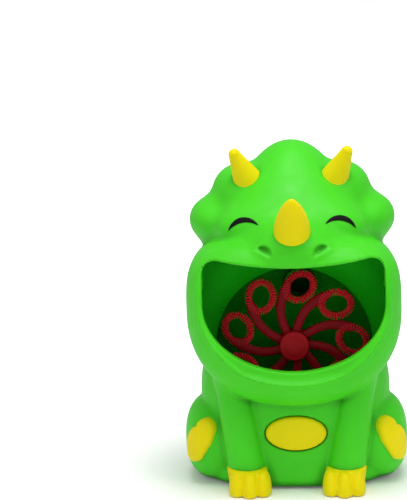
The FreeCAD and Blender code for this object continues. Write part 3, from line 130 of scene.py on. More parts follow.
def head(p):
    """Head, frill lobes and snout."""
    d = egg(p, (0, 2, 150), (57, 57.6, 58))
    d = smooth_union(d, egg(p, (0, 6, 188), (27.5, 33, 31)), 9)
    d = smooth_union(d, egg(p, (33, 4, 186), (18.5, 30, 18.5)), 7)
    d = smooth_union(d, egg(p, (51, 1, 168.8), (15.6, 27, 15)), 9)
    return smooth_union(d, egg(p, (29, -38.5, 167), (13.5, 7.5, 6.5)), 18)


def oval(p, centre_z, half_wide, half_high):
    k = np.sqrt((p[0] / half_wide) ** 2 + ((p[2] - centre_z) / half_high) ** 2) + 1e-9
    slope = np.sqrt((p[0] / half_wide**2) ** 2 + ((p[2] - centre_z) / half_high**2) ** 2) + 1e-9
    return k * (k - 1) / slope


LIP_RADIUS = 240


def mouth(p):
    """The mouth opening: half an ellipse, straight sides, round corners, a sagging upper lip."""
    x, z = np.abs(p[0]), p[2]
    side = x - 56 + 11
    lip = LIP_RADIUS - np.hypot(x, z - 145 - LIP_RADIUS) + 11
    high = np.hypot(np.maximum(side, 0), np.maximum(lip, 0)) + np.minimum(np.maximum(side, lip), 0) - 11
    return np.where(z < 122, oval(p, 122, 56, 42), np.maximum(high, x - 56))


def lip_fall(p):
    """How far the skin falls back between the lip's crest and the edge of the mouth."""
    below = np.clip((122 - p[2]) / 42, 0, 1)
    width = 3 + 4.4 * below**3
    share = np.clip(1 - mouth(p) / width, 0, 1)
    ridge = 0.9 * np.exp(-(((mouth(p) - width) / 1.3) ** 2))
    fade = np.clip((145 - p[2]) / 25, 0, 1) * np.clip((-40 - p[1]) / 8, 0, 1)
    return (0.62 * width * (1 - (1 - share) ** 2) - ridge) * fade


def nostril_dip(p):
    """How far the skin dips in a slanting comma, less the rim raised round it."""
    slant = math.radians(29)
    x, z = p[0] - 16.1, p[2] - 155.8
    across = x * math.cos(slant) + z * math.sin(slant)
    up = z * math.cos(slant) - x * math.sin(slant) + 0.06 * across**2
    span = np.sqrt((across / 5.0) ** 2 + (up / 2.4) ** 2)
    rim = 0.4 * np.exp(-(((span - 1.4) / 0.4) ** 2))
    return (2.3 * np.clip(1 - span**2, 0, 1) - rim) * np.clip((-50 - p[1]) / 5, 0, 1)


def skin(point):
    """The whole outside of the animal; both halves are alike."""
    p = (np.abs(point[0]), point[1], point[2])
    crease = 2.5 + 5 * np.clip((52 - p[0]) / 26, 0, 1)
    upper = smooth_union(head(p), level(jaw_formula, p) + lip_fall(p), crease)
    upper = smooth_union(upper, egg(p, (0, -46, 155), (25, 27, 19)), 8) + nostril_dip(p)
    lower = smooth_union(level(body_formula, p), haunch(p), 1.8)
    lower = smooth_union(lower, leg(p), 2.5)
    lower = smooth_union(lower, egg(p, (40.5, -34, 73), (9.8, 17, 11)), 6)
    lower = smooth_common(lower, p[2] - 100, 2)
    whole = smooth_union(upper, lower, 1.6)
    return smooth_common(whole, 0.8 - p[2], 2)


def turned(p, centre, along, spin=0.0):
    """Coordinates about a centre with the third one along a direction."""
    matrix = Vector(along).to_track_quat("Z", "Y").to_matrix() @ Matrix.Rotation(spin, 3, "Z")
    q = [p[i] - centre[i] for i in range(3)]
    return tuple(sum(q[i] * matrix[i][axis] for i in range(3)) for axis in range(3))


WALL = 2.8


def hollow(d):
    return smooth_common(d, -(d + WALL), 0.6)


SHELL_SCREWS = ((50, 20), (54, 92), (30, 190))


def wells(p):
    """Deep screw holes in the back."""
    x = np.abs(p[0])
    d = np.full_like(x, 1e3)
    for at_x, at_z in SHELL_SCREWS:
        bore = np.hypot(x - at_x, p[2] - at_z)
        d = np.minimum(d, np.maximum(bore - 3.4, 10.8 - p[1]))
    return d


def vents(p):
    """Air slots in a round patch behind the fan."""
    x, z = p[0] + 14, p[2] - 165
    d = np.full_like(x, 1e3)
    for step in range(-3, 4):
        half = math.sqrt(20**2 - (5 * step) ** 2) - 1
        slot = np.hypot(np.maximum(np.abs(x) - half, 0), z - 5 * step) - 1.15
        d = np.minimum(d, slot)
    return np.maximum(d, 35 - p[1])


def hinge_roll(p, radius, reach):
    """The round lower edge the door turns on."""
    return np.maximum(np.hypot(p[1] - 58.2, p[2] - 8.3) - radius, np.abs(p[0]) - reach)


def door_outline(p, grow=0.0):
    half, low, high, corner = 32 + grow, 8.5 - grow, 80 + grow, 5
    dx = np.abs(p[0]) - half + corner
    dz = np.abs(p[2] - (low + high) / 2) - (high - low) / 2 + corner
    return np.hypot(np.maximum(dx, 0), np.maximum(dz, 0)) + np.minimum(np.maximum(dx, dz), 0) - corner


def nose_formula(x, y, z):
    """An egg, blunt below and more pointed above its widest place."""
    across, up, along = turned(
        (x, y, z), (0, -65, 167.2), (0, -math.cos(math.radians(50)), math.sin(math.radians(50)))
    )
    radius = np.sqrt(across**2 + up**2 + 1e-9) / 11.2
    return np.where(along > 0, radius**1.43 + np.abs(along / 27) ** 1.6, radius**2 + (along / 15) ** 2)


def horn_nose(p):
    return level(nose_formula, p)


def horn_brow(p):
    """A horn for the side where x is positive, swelling towards its base."""
    along = Vector((0.39, -0.38, 0.85)).normalized()
    length, tip = 20.2, 3.7
    q = [p[0] - 27.5, p[1] + 19.2, p[2] - 195]
    t = sum(q[i] * along[i] for i in range(3))
    away = np.sqrt(np.maximum(sum(c * c for c in q) - t * t, 0) + np.maximum(t - length, 0) ** 2 + 1e-9)
    radius = tip + 5.8 * (1 - np.clip(t / length, -0.3, 1))
    return (away - radius) * 0.95


def front_shell(p):
    d = skin(p)
    bore = mouth(p)
    lip = np.maximum(np.maximum(bore - 9, d), p[1] + 61)
    throat = np.maximum(np.maximum(bore - 1.9, d), p[1] + np.where(p[2] < 130, 61.8, 48.2))
    behind_nostril = np.maximum(egg((np.abs(p[0]), p[1], p[2]), (16, -65, 156), (8, 8, 6)), d)
    shell = hollow(d)
    for solid in (lip, throat, behind_nostril):
        shell = smooth_union(shell, solid, 1)
    shell = smooth_common(shell, -bore, 1.4)
    button = np.maximum(oval(p, 36.7, 19.65, 11.35), p[1] + 40)
    shell = smooth_common(shell, -button, 1)
    return smooth_common(shell, p[1] - 3.9, 0.7)


def rear_shell(p):
    d = skin(p)
    shell = hollow(d)
    boss = np.full_like(d, 1e3)
    for at_x, at_z in SHELL_SCREWS:
        boss = np.minimum(boss, np.hypot(np.abs(p[0]) - at_x, p[2] - at_z) - 5)
    shell = smooth_union(shell, np.maximum(np.maximum(boss, d), 6 - p[1]), 1)
    shell = smooth_common(shell, -wells(p), 0.8)
    shell = smooth_common(shell, -vents(p), 0.6)
    shell = smooth_common(shell, -np.maximum(door_outline(p), 20 - p[1]), 0.7)
    shell = smooth_common(shell, -hinge_roll(p, 1.3, 18.2), 0.5)
    return smooth_common(shell, 4.1 - p[1], 0.7)


def battery_door(p):
    d = skin(p)
    door = smooth_common(hollow(d), door_outline(p, -0.2), 0.7)
    door = np.maximum(door, 30 - p[1])
    screw = np.maximum(np.hypot(p[0], p[2] - 75) - 3, 54 - p[1])
    door = smooth_common(door, -screw, 0.6)
    grip = np.maximum(np.hypot(np.maximum(np.abs(p[0]) - 7, 0), p[2] - 66) - 2.2, -(d + 1.3))
    door = smooth_common(door, -grip, 1)
    tab = np.maximum(np.maximum(np.abs(p[0]) - 18, np.abs(p[1] - 54) - 1.4), np.abs(p[2] - 9) - 3.4)
    return smooth_union(smooth_union(door, tab, 0.8), hinge_roll(p, 1.1, 18), 0.8)


AXLE_Z = 90.0
WELL_RADIUS = 49.7
LIP_Y = -61.6  # where the throat meets the lower lip
THROAT_DROP = 8.0
TANK_WALL = 2.3
NOZZLE_X, NOZZLE_Z, NOZZLE_HOLE = 4.2, 127.2, 10.2


def tank(p):
    """The wheel's round well, opening forward to the mouth; its throat falls away behind the lower lip."""
    x, y, z = p
    fall = THROAT_DROP * np.clip((y - LIP_Y) / 19.6, 0, 1) * np.clip((130 - z) / 40, 0, 1)
    throat = np.maximum(mouth((x, y, z + fall)), np.abs(y + 62) - 20)
    from_axle = np.hypot(x, z - AXLE_Z)
    funnel = 0.9 * np.clip(-30 - y, 0, 16) * np.clip((z - AXLE_Z) / 20, 0, 1)
    well = np.maximum(from_axle - WELL_RADIUS - funnel, np.abs(y + 27) - 17)
    cavity = smooth_union(throat, well, 10)
    d = smooth_common(cavity - TANK_WALL, -cavity, 0.4)
    d = np.maximum(d, LIP_Y + 13.4 * np.clip((z - 124) / 6, 0, 1) - y)
    d = np.minimum(d, np.maximum(from_axle - 6.5, np.abs(y + 9) - 3))
    d = np.maximum(d, 4 - from_axle)
    d = np.maximum(d, np.minimum(NOZZLE_HOLE - np.hypot(x - NOZZLE_X, z - NOZZLE_Z), y + 14))
    return np.maximum(d, skin(p) + 0.9)


def foot(p):
    """A yellow foot for the side where x is positive: three toes round the bottom of the leg."""
    d = cone(p, LEG_BASE + (-0.3, -1.8, 0), LEG_ALONG, 12.7, 11.8, 66)
    for x, y, rx, ry in ((21.3, -55, 5.4, 9.5), (29.4, -58, 5.6, 9.5), (37.4, -55, 5.4, 9.5)):
        d = smooth_union(d, egg(p, (x, y, 3), (rx, ry, 14)), 1.6)
    top = 15.3 + 0.005 * (p[0] - 30) ** 2
    d = smooth_common(d, p[2] - top, 2.2)
    d = smooth_common(d, 0.3 - p[2], 1.6)
    d = np.maximum(d, p[1] + 41)
    return smooth_common(d, -(skin(p) + 1), 0.5)


SOLE = (
    (-8.8, 16.5), (-14.5, 15), (-18.2, 11), (-18, 5.5), (-15.5, -0.6), (-7.5, -10.3), (-1, -12.8),
    (5, -13.4), (9.3, -9.5), (9.8, -2), (7, 4), (2.3, 9), (-2, 10.6), (-3.6, 14),
)  # across and up from the middle of the pad


def closed_curve(corners, per_side=6):
    """A smooth closed outline through corners."""
    points, count = [], len(corners)
    for i in range(count):
        a, b, c, e = (np.array(corners[(i + k) % count], float) for k in (-1, 0, 1, 2))
        for t in np.arange(per_side) / per_side:
            bend, twist = 2 * a - 5 * b + 4 * c - e, 3 * b - a - 3 * c + e
            points.append(0.5 * (2 * b + (c - a) * t + bend * t**2 + twist * t**3))
    return np.array(points)


def outline_field(u, v, points):
    """Signed distance to a closed outline in a plane."""
    nearest = np.full_like(u, 1e9)
    inside = np.zeros(u.shape, bool)
    for a, b in zip(points, np.roll(points, -1, 0)):
        run = b - a
        t = np.clip(((u - a[0]) * run[0] + (v - a[1]) * run[1]) / (run @ run), 0, 1)
        nearest = np.minimum(nearest, (u - a[0] - t * run[0]) ** 2 + (v - a[1] - t * run[1]) ** 2)
        crosses = (a[1] > v) != (b[1] > v)
        with np.errstate(divide="ignore", invalid="ignore"):
            inside ^= crosses & (u < (b[0] - a[0]) * (v - a[1]) / (b[1] - a[1]) + a[0])
    return np.where(inside, -1, 1) * np.sqrt(nearest)


SOLE_OUTLINE = closed_curve(SOLE)


def sole(p):
    """A paw pad on the haunch, for the side where x is positive."""
    u = (p[0] - 59.5) * 0.92 + (p[1] + 27) * 0.77
    print_edge = outline_field(u, p[2] - 28.3, SOLE_OUTLINE)
    d = smooth_common(print_edge, haunch(p) - 2.3, 2.4)
    d = np.maximum(d, p[1] + 8)
    return smooth_common(d, -(skin(p) + 1), 0.5)


def button(p):
    face = smooth_common(oval(p, 36.7, 19.2, 10.9), level(body_formula, p) - 1.3, 2.2)
    return np.maximum(face, p[1] + 43.7)


def circle_through(a, b, c):
    """Centre and radius of the circle through three points of a plane."""
    (ax, ay), (bx, by), (cx, cy) = a, b, c
    d = 2 * (ax * (by - cy) + bx * (cy - ay) + cx * (ay - by))
    ux = ((ax**2 + ay**2) * (by - cy) + (bx**2 + by**2) * (cy - ay) + (cx**2 + cy**2) * (ay - by)) / d
    uy = ((ax**2 + ay**2) * (cx - bx) + (bx**2 + by**2) * (ax - cx) + (cx**2 + cy**2) * (bx - ax)) / d
    return ux, uy, math.hypot(ax - ux, ay - uy)


def eye(p):
    """A crescent let into the brow, for the side where x is positive."""
    ends = (39.6, 165.3), (20.2, 169.2)
    ox, oz, outer = circle_through(ends[0], (28.9, 174.3), ends[1])
    ix, iz, inner = circle_through(ends[0], (28.7, 171.2), ends[1])
    crescent = np.maximum(np.hypot(p[0] - ox, p[2] - oz) - outer, inner - np.hypot(p[0] - ix, p[2] - iz))
    d = skin(p)
    return smooth_common(np.maximum(crescent, p[1] + 25), np.maximum(d - 0.4, -(d + 0.7)), 0.4)


# ---------------------------------------------------------------- fields to meshes

CORNERS = [(i, j, k) for i in (0, 1) for j in (0, 1) for k in (0, 1)]
EDGES = [
    (a, b)
    for a in range(8)
    for b in range(a + 1, 8)
    if sum(abs(CORNERS[a][i] - CORNERS[b][i]) for i in range(3)) == 1
]
BLOCK = 4


def gradient(field, points, reach):
    """Slope of a field at points, by central differences."""
    slopes = np.empty_like(points)
    for axis in range(3):
        ahead, behind = points.copy(), points.copy()
        ahead[:, axis] += reach
        behind[:, axis] -= reach
        slopes[:, axis] = (field(tuple(ahead.T)) - field(tuple(behind.T))) / (2 * reach)
    return slopes


def contour(field, low, high, step):
    """Closed quads on the zero of a field: surface nets, relaxed, then pulled onto the field."""
    low = np.array(low, float)
    counts = np.ceil((np.array(high) - low) / step).astype(int) + 1
    blocks = counts // BLOCK + 2
    rough_axes = [low[i] + step * BLOCK * np.arange(blocks[i]) for i in range(3)]
    rough = field(tuple(np.meshgrid(*rough_axes, indexing="ij")))
    nearest = [
        np.minimum(np.round(np.arange(counts[i]) / BLOCK).astype(int), blocks[i] - 1) for i in range(3)
    ]
    values = rough[np.ix_(*nearest)]
    close = np.nonzero(np.abs(values) < 6.5 * step)
    values[close] = field(tuple(low[i] + step * close[i] for i in range(3)))
    inside = values < 0
    cells = tuple(counts - 1)
    full = np.zeros(cells, np.int8)
    for i, j, k in CORNERS:
        full += inside[i:i + cells[0], j:j + cells[1], k:k + cells[2]]
    active = (full > 0) & (full < 8)
    at = np.nonzero(active)
    ids = np.full(cells, -1, np.int64)
    ids[at] = np.arange(len(at[0]))
    corner_values = np.stack([values[at[0] + i, at[1] + j, at[2] + k] for i, j, k in CORNERS], 1)
    total, hits = np.zeros((len(at[0]), 3)), np.zeros(len(at[0]))
    for a, b in EDGES:
        va, vb = corner_values[:, a], corner_values[:, b]
        crossed = (va < 0) != (vb < 0)
        share = np.where(crossed, va / np.where(crossed, va - vb, 1), 0)
        start, run = np.array(CORNERS[a], float), np.array(CORNERS[b], float) - CORNERS[a]
        total += crossed[:, None] * (start + share[:, None] * run)
        hits += crossed
    points = low + step * (np.stack(at, 1) + total / hits[:, None])
    quads = []
    for axis in range(3):
        one, two = [i for i in range(3) if i != axis]
        along = [slice(None)] * 3
        ahead = list(along)
        along[axis], ahead[axis] = slice(0, -1), slice(1, None)
        crossing = inside[tuple(along)] != inside[tuple(ahead)]
        spots = np.nonzero(crossing)
        inner = np.ones(len(spots[0]), bool)
        for other in (one, two):
            inner &= (spots[other] > 0) & (spots[other] < counts[other] - 1)
        spots = [spot[inner] for spot in spots]
        around = []
        for back_one, back_two in ((0, 0), (1, 0), (1, 1), (0, 1)):
            cell = [spot.copy() for spot in spots]
            cell[one] -= back_one
            cell[two] -= back_two
            around.append(ids[tuple(cell)])
        faces = np.stack(around, 1)
        flip = inside[tuple(spots)] != (axis == 1)
        faces[flip] = faces[flip][:, ::-1]
        quads.append(faces)
    quads = np.concatenate(quads)[:, ::-1]
    ends = np.concatenate([quads[:, [i, (i + 1) % 4]] for i in range(4)])
    degree = np.bincount(ends.ravel(), minlength=len(points))[:, None]
    for relax in (0.5, 0.5, 0.3, 0):
        if relax:
            near = np.stack([
                np.bincount(ends[:, 0], points[ends[:, 1], axis], len(points))
                + np.bincount(ends[:, 1], points[ends[:, 0], axis], len(points))
                for axis in range(3)
            ], 1)
            points = points + relax * (near / degree - points)
        slope = gradient(field, points, 0.1 * step)
        move = field(tuple(points.T))[:, None] * slope / ((slope**2).sum(1, keepdims=True) + 1e-6)
        length = np.linalg.norm(move, axis=1, keepdims=True) + 1e-9
        points = points - move * np.minimum(1, 0.7 * step / length)
    return points, quads


def mesh_object(name, points, faces, material):
    """A smooth-shaded object from points in millimetres."""
    data = bpy.data.meshes.new(name)
    data.from_pydata(
        (np.asarray(points) * MM).tolist(),
        [],
        np.asarray(faces).tolist() if isinstance(faces, np.ndarray) else faces,
    )
    data.polygons.foreach_set("use_smooth", [True] * len(data.polygons))
    data.materials.append(material)
    result = bpy.data.objects.new(name, data)
    bpy.context.scene.collection.objects.link(result)
    return result


def piece(name, points, faces, material, body, nodes, slot):
    """A visible piece that rides on a body and stands for CAD nodes."""
    result = mesh_object(name, points, faces, material)
    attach(result, body)
    if nodes:
        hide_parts(*nodes)
    return result


def moulded(name, field, low, high, step, material, body="housing", nodes=(), slot="green_shell"):
    points, quads = contour(field, low, high, step)
    return piece(name, points, quads, material, body, nodes, slot)


def mirrored(field):
    return lambda p: field((-p[0], p[1], p[2]))


# ---------------------------------------------------------------- materials


def nodes_of(name):
    material = bpy.data.materials.new(name)
    material.use_nodes = True
    tree = material.node_tree
    return material, tree, tree.nodes["Principled BSDF"]


def noise(tree, scale, detail=2.0, stretch=None):
    """Noise in the frame's own space, with a feature size of about 1 / scale metres."""
    place = tree.nodes.new("ShaderNodeTexCoord")
    texture = tree.nodes.new("ShaderNodeTexNoise")
    texture.inputs["Scale"].default_value = scale
    texture.inputs["Detail"].default_value = detail
    if stretch:
        mapping = tree.nodes.new("ShaderNodeMapping")
        mapping.inputs["Scale"].default_value = stretch
        tree.links.new(place.outputs["Object"], mapping.inputs["Vector"])
        tree.links.new(mapping.outputs["Vector"], texture.inputs["Vector"])
    else:
        tree.links.new(place.outputs["Object"], texture.inputs["Vector"])
    return texture.outputs["Fac"]


def spread(tree, source, low, high, start=0.3, end=0.7):
    node = tree.nodes.new("ShaderNodeMapRange")
    node.inputs["From Min"].default_value = start
    node.inputs["From Max"].default_value = end
    node.inputs["To Min"].default_value = low
    node.inputs["To Max"].default_value = high
    tree.links.new(source, node.inputs["Value"])
    return node.outputs["Result"]


def blend_colours(tree, factor, first, second):
    node = tree.nodes.new("ShaderNodeMix")
    node.data_type = "RGBA"
    tree.links.new(factor, node.inputs[0])
    for socket, colour in ((6, first), (7, second)):
        if isinstance(colour, tuple):
            node.inputs[socket].default_value = (*colour, 1)
        else:
            tree.links.new(colour, node.inputs[socket])
    return node.outputs[2]


def surface(
    name,
    colour,
    rough,
    metal=0.0,
    tint=0.12,
    bump=0.02,
    grain=1800,
    stretch=None,
    soft=0.0,
    edge=0.06,
    coat=0.0,
    gloss=0.5,
    crease=0.0,
):
    """One finish: mottled colour, uneven roughness, fine grain in the normal, sharp edges lightened as a
    painted highlight, and, where crease is given, creases darkened as painted shade.
    """
    material, tree, shader = nodes_of(name)
    mottle = spread(tree, noise(tree, 22, 3), 0, 1)
    darker = tuple(value * (1 - tint) for value in colour)
    lighter = tuple(min(1, value * (1 + tint * 0.5) + 0.004) for value in colour)
    base = blend_colours(tree, mottle, darker, lighter)
    geometry = tree.nodes.new("ShaderNodeNewGeometry")
    # Painted highlight: sharp convex edges are coloured lighter, by up to edge.
    edge_highlight = spread(tree, geometry.outputs["Pointiness"], 0, edge, 0.52, 0.62)
    highlight_colour = tuple(min(1, value * 1.15 + 0.05) for value in colour)
    base = blend_colours(tree, edge_highlight, base, highlight_colour)
    if crease:
        # Painted shade: an ambient occlusion node darkens the colour in creases, hollows and under overhangs
        # within crease millimetres.
        shade_occlusion = tree.nodes.new("ShaderNodeAmbientOcclusion")
        shade_occlusion.samples = 8
        shade_occlusion.inputs["Distance"].default_value = crease * MM
        deep = tuple(value * 0.45 for value in colour)
        base = blend_colours(tree, spread(tree, shade_occlusion.outputs["AO"], 0, 1, 0.45, 0.9), deep, base)
    tree.links.new(base, shader.inputs["Base Color"])
    uneven = spread(tree, noise(tree, 140, 4), rough * 0.85, rough * 1.2)
    tree.links.new(uneven, shader.inputs["Roughness"])
    shader.inputs["Metallic"].default_value = metal
    shader.inputs["Specular IOR Level"].default_value = gloss
    shader.inputs["Coat Weight"].default_value = coat
    shader.inputs["Coat Roughness"].default_value = 0.2
    if soft:
        shader.inputs["Subsurface Weight"].default_value = soft
        shader.inputs["Subsurface Radius"].default_value = (0.002, 0.004, 0.001)
        shader.inputs["Subsurface Scale"].default_value = 0.6
    relief = tree.nodes.new("ShaderNodeBump")
    relief.inputs["Strength"].default_value = 0.35
    relief.inputs["Distance"].default_value = bump * MM
    tree.links.new(noise(tree, grain, 3, stretch), relief.inputs["Height"])
    tree.links.new(relief.outputs["Normal"], shader.inputs["Normal"])
    return material


# Painted shade darkens this green in its creases and under the jaw (crease=7).
GREEN = surface("green_plastic", (0.060, 0.70, 0.009), 0.45, tint=0.06, gloss=0.28, crease=7)
YELLOW = surface("yellow_plastic", (0.94, 0.78, 0.0005), 0.45, tint=0.05, gloss=0.12)
# The wand wheel is one red moulding in two tones: the rings' ribs are painted brighter as lit, the arms and
# hub darker as in shade.
RED = surface("red_plastic", (0.33, 0.002, 0.010), 0.45, gloss=0.12)
RED_PAINTED_LIGHT = surface("red_plastic_painted_light", (0.95, 0.012, 0.035), 0.4, gloss=0.15)
HUB_RED = surface("hub_plastic", (0.50, 0.002, 0.010), 0.35, gloss=0.15)
# Painted shade: the tank is the shell's green plastic, coloured much darker as the shade inside the mouth.
TANK = surface("tank_green_painted_shade", (0.003, 0.34, 0.001), 0.6, edge=0.01, gloss=0.05)
BLACK = surface("black_enamel", (0.003, 0.003, 0.003), 0.5, tint=0.3, edge=0.0, gloss=0.1)
FINISHES = {
    "green_shell": GREEN,
    "yellow_trim": YELLOW,
    "red_wheel": RED,
    "red_hub": HUB_RED,
    "dark_tank": TANK,
    "black_trim": BLACK,
    "steel": surface(
        "bright_steel", (0.58, 0.57, 0.55), 0.3, metal=1, tint=0.15, grain=900, stretch=(1, 12, 1)
    ),
    "gear_plastic": surface("acetal", (0.72, 0.71, 0.66), 0.42, soft=0.05),
    "case_plastic": surface("grey_case_plastic", (0.035, 0.036, 0.04), 0.5, bump=0.05),
    "motor_steel": surface(
        "drawn_steel", (0.42, 0.42, 0.44), 0.35, metal=1, tint=0.2, grain=700, stretch=(1, 0.1, 1)
    ),
    "cell": surface("cell_jacket", (0.02, 0.022, 0.03), 0.25, coat=0.4),
    "board": surface("circuit_board", (0.30, 0.16, 0.05), 0.55, tint=0.25, bump=0.05),
    "copper_wire": surface("wire_sleeve", (0.40, 0.015, 0.015), 0.45),
    "pad": surface("pad_rubber", (0.025, 0.025, 0.026), 0.75, bump=0.08, edge=0.03),
}
for entry in frame["record"]["subparts"]:
    drawn = frame["nodes"].get(entry["node"])
    if drawn is not None:
        drawn.data.materials.clear()
        drawn.data.materials.append(FINISHES[entry["material_slot"]])

# ---------------------------------------------------------------- shells and trim

fine = 1.25
moulded("front_shell_skin", front_shell, (-76, -80, -3), (76, 8, 224), fine, GREEN, nodes=["front_shell"])
moulded("rear_shell_skin", rear_shell, (-76, 0, -3), (76, 66, 224), fine, GREEN, nodes=["rear_shell"])
moulded("battery_door_skin", battery_door, (-36, 40, 4), (36, 64, 84), 1.0, GREEN, "door", ["battery_door"])

# The tank's darker green is painted shade for the inside of the mouth.
moulded(
    "tank_shape", tank, (-62, -64, 34), (62, -3, 158), 1.1, TANK, nodes=["mouth_liner"], slot="dark_tank"
)


def above_skin(field, gap):
    """The part of a field outside the skin."""
    return lambda p: smooth_common(field(p), -(skin(p) - gap), 0.4)


moulded(
    "nose_horn_shape",
    above_skin(horn_nose, -1),
    (-14, -92, 156),
    (14, -46, 198),
    0.8,
    YELLOW,
    nodes=["nose_horn"],
    slot="yellow_trim",
)
moulded(
    "power_button_cap",
    button,
    (-22, -54, 22),
    (22, -40, 51),
    0.8,
    YELLOW,
    "button",
    ["power_button"],
    "yellow_trim",
)
for side, flip in (("right", False), ("left", True)):
    for name, field, low, high, step, material, slot in (
        ("brow_horn", above_skin(horn_brow, -1), (16, -38, 182), (46, -6, 222), 0.7, YELLOW, "yellow_trim"),
        ("front_foot", foot, (12, -70, -2), (50, -32, 24), 0.7, YELLOW, "yellow_trim"),
        ("hind_sole", sole, (40, -48, 8), (78, -6, 48), 0.7, YELLOW, "yellow_trim"),
        ("eye", eye, (18, -60, 162), (42, -30, 179), 0.4, BLACK, "black_trim"),
    ):
        if flip:
            low, high = (-high[0], low[1], low[2]), (-low[0], high[1], high[2])
        shape = mirrored(field) if flip else field
        moulded(
            f"{name}_{side}_shape", shape, low, high, step, material, nodes=[f"{name}_{side}"], slot=slot
        )

# ---------------------------------------------------------------- wand wheel

AXLE = np.array((0.0, -28.0, 90.0))
ARMS, RIBS = 9, 36
FIRST_RING, RING_LEAN = 83.5, -42
RIB_DEEP = 1.8
RIB_STEPS = ((-0.26, 0.8, 0.5), (-0.21, 2.3, RIB_DEEP), (0.21, 2.3, RIB_DEEP), (0.26, 0.8, 0.5))


def polar(radius, degrees):
    angle = np.radians(degrees)
    return np.array((radius * np.cos(angle), 0, radius * np.sin(angle)))


def strip_faces(rings, around, closed):
    """Quads between rings of points; closed joins the last ring to the first, else both ends get caps."""
    faces = []
    for i in range(rings if closed else rings - 1):
        for j in range(around):
            a, b = i * around + j, i * around + (j + 1) % around
            c, e = ((i + 1) % rings) * around + (j + 1) % around, ((i + 1) % rings) * around + j
            faces.append([a, b, c, e])
    if not closed:
        faces.append(list(range(around))[::-1])
        faces.append([(rings - 1) * around + j for j in range(around)])
    return faces


class Parts:
    """Gathers closed meshes that make up one piece."""

    def __init__(self):
        self.points, self.faces = [], []

    def add(self, points, faces):
        shift = len(self.points)
        self.points += [tuple(point) for point in points]
        self.faces += [[index + shift for index in face] for face in faces]


def section(half_wide, half_deep, chamfer):
    """A rectangle with cut corners, as (across, depth) pairs."""
    w, d, c = half_wide, half_deep, chamfer
    return [
        (w, d - c),
        (w - c, d),
        (-w + c, d),
        (-w, d - c),
        (-w, -d + c),
        (-w + c, -d),
        (w - c, -d),
        (w, -d + c),
    ]


def bubble_ring(degrees):
    """An oval comb: ribs standing forward of a thin hoop, one closed loop."""
    points, middle = [], AXLE + polar(37.4, degrees)
    lean = np.radians(degrees + RING_LEAN)
    long_way = np.array((np.cos(lean), 0, np.sin(lean)))
    short_way = np.array((-np.sin(lean), 0, np.cos(lean)))
    for rib in range(RIBS):
        for share, half_wide, half_deep in RIB_STEPS:
            turn = 2 * np.pi * (rib + share) / RIBS
            c, s = np.cos(turn), np.sin(turn)
            outward = long_way * c * 7.8 + short_way * s * 9.4
            outward /= np.linalg.norm(outward)
            centre = middle + long_way * 9.4 * c + short_way * 7.8 * s
            for across, deep in section(half_wide, half_deep, 0.3):
                points.append(centre + outward * across + np.array((0, deep + RIB_DEEP - half_deep, 0)))
    return points, strip_faces(RIBS * 4, 8, True)


# radius and degrees ahead
ARM_LINE = ((7, 37), (11, 35.5), (19, 31.5), (26, 25.6), (31, 20), (34.8, 16.4), (38.4, 13.4), (41, 10.5))


def arm(degrees):
    """A swirling spoke, deeper at the hub and splayed where it meets its ring."""
    line = np.array([polar(radius, degrees + swirl) for radius, swirl in ARM_LINE])
    steps, points = 22, []
    stations = np.linspace(0, len(line) - 1, steps)
    middle = np.stack([np.interp(stations, range(len(line)), line[:, axis]) for axis in range(3)], 1)
    for _ in range(2):
        middle[1:-1] = (middle[:-2] + 2 * middle[1:-1] + middle[2:]) / 4
    run = np.gradient(middle, axis=0)
    for i in range(steps):
        along = run[i] / np.linalg.norm(run[i])
        aside = np.array((-along[2], 0, along[0]))
        share = i / (steps - 1)
        fillet = 1.9 * share**3 * (1 - max(share - 0.75, 0) / 0.25)
        half_wide = 2.8 - 1.5 * max(share - 0.75, 0) / 0.25 + fillet
        half_deep = 1.6 + 1.4 * (1 - share) ** 2
        for turn in np.arange(12) * np.pi / 6:
            c, s = np.cos(turn), np.sin(turn)
            across = half_wide * np.sign(c) * abs(c) ** 0.6 - fillet
            deep = half_deep * np.sign(s) * abs(s) ** 0.6
            points.append(AXLE + middle[i] + aside * across + np.array((0, deep, 0)))
    return points, strip_faces(steps, 12, False)


def lathe(profile, centre, around=64):
    """A closed solid turned about the wheel's axis from (radius, depth) pairs; its ends are on the axis."""
    points = [centre + np.array((0, profile[0][1], 0))]
    for radius, depth in profile[1:-1]:
        points += [
            centre + polar(radius, 360 * j / around) + np.array((0, depth, 0)) for j in range(around)
        ]
    points.append(centre + np.array((0, profile[-1][1], 0)))
    faces, last = [], len(points) - 1
    for j in range(around):
        nxt = (j + 1) % around
        faces.append([0, 1 + nxt, 1 + j])
        for i in range(len(profile) - 3):
            a = 1 + i * around
            faces.append([a + j, a + nxt, a + around + nxt, a + around + j])
        faces.append([last, last - around + j, last - around + nxt])
    return points, faces


rings, wheel = Parts(), Parts()
for number in range(ARMS):
    rings.add(*bubble_ring(FIRST_RING + 360 / ARMS * number))
    wheel.add(*arm(FIRST_RING + 360 / ARMS * number))
hub_profile = [
    (0, -6.1), (9.0, -6.1), (9.4, -5.7), (9.5, -4.6), (9.5, 1.5), (10.4, 2.6), (10.4, 4.5), (9, 6), (0, 6)
]
wheel.add(*lathe(hub_profile, AXLE))
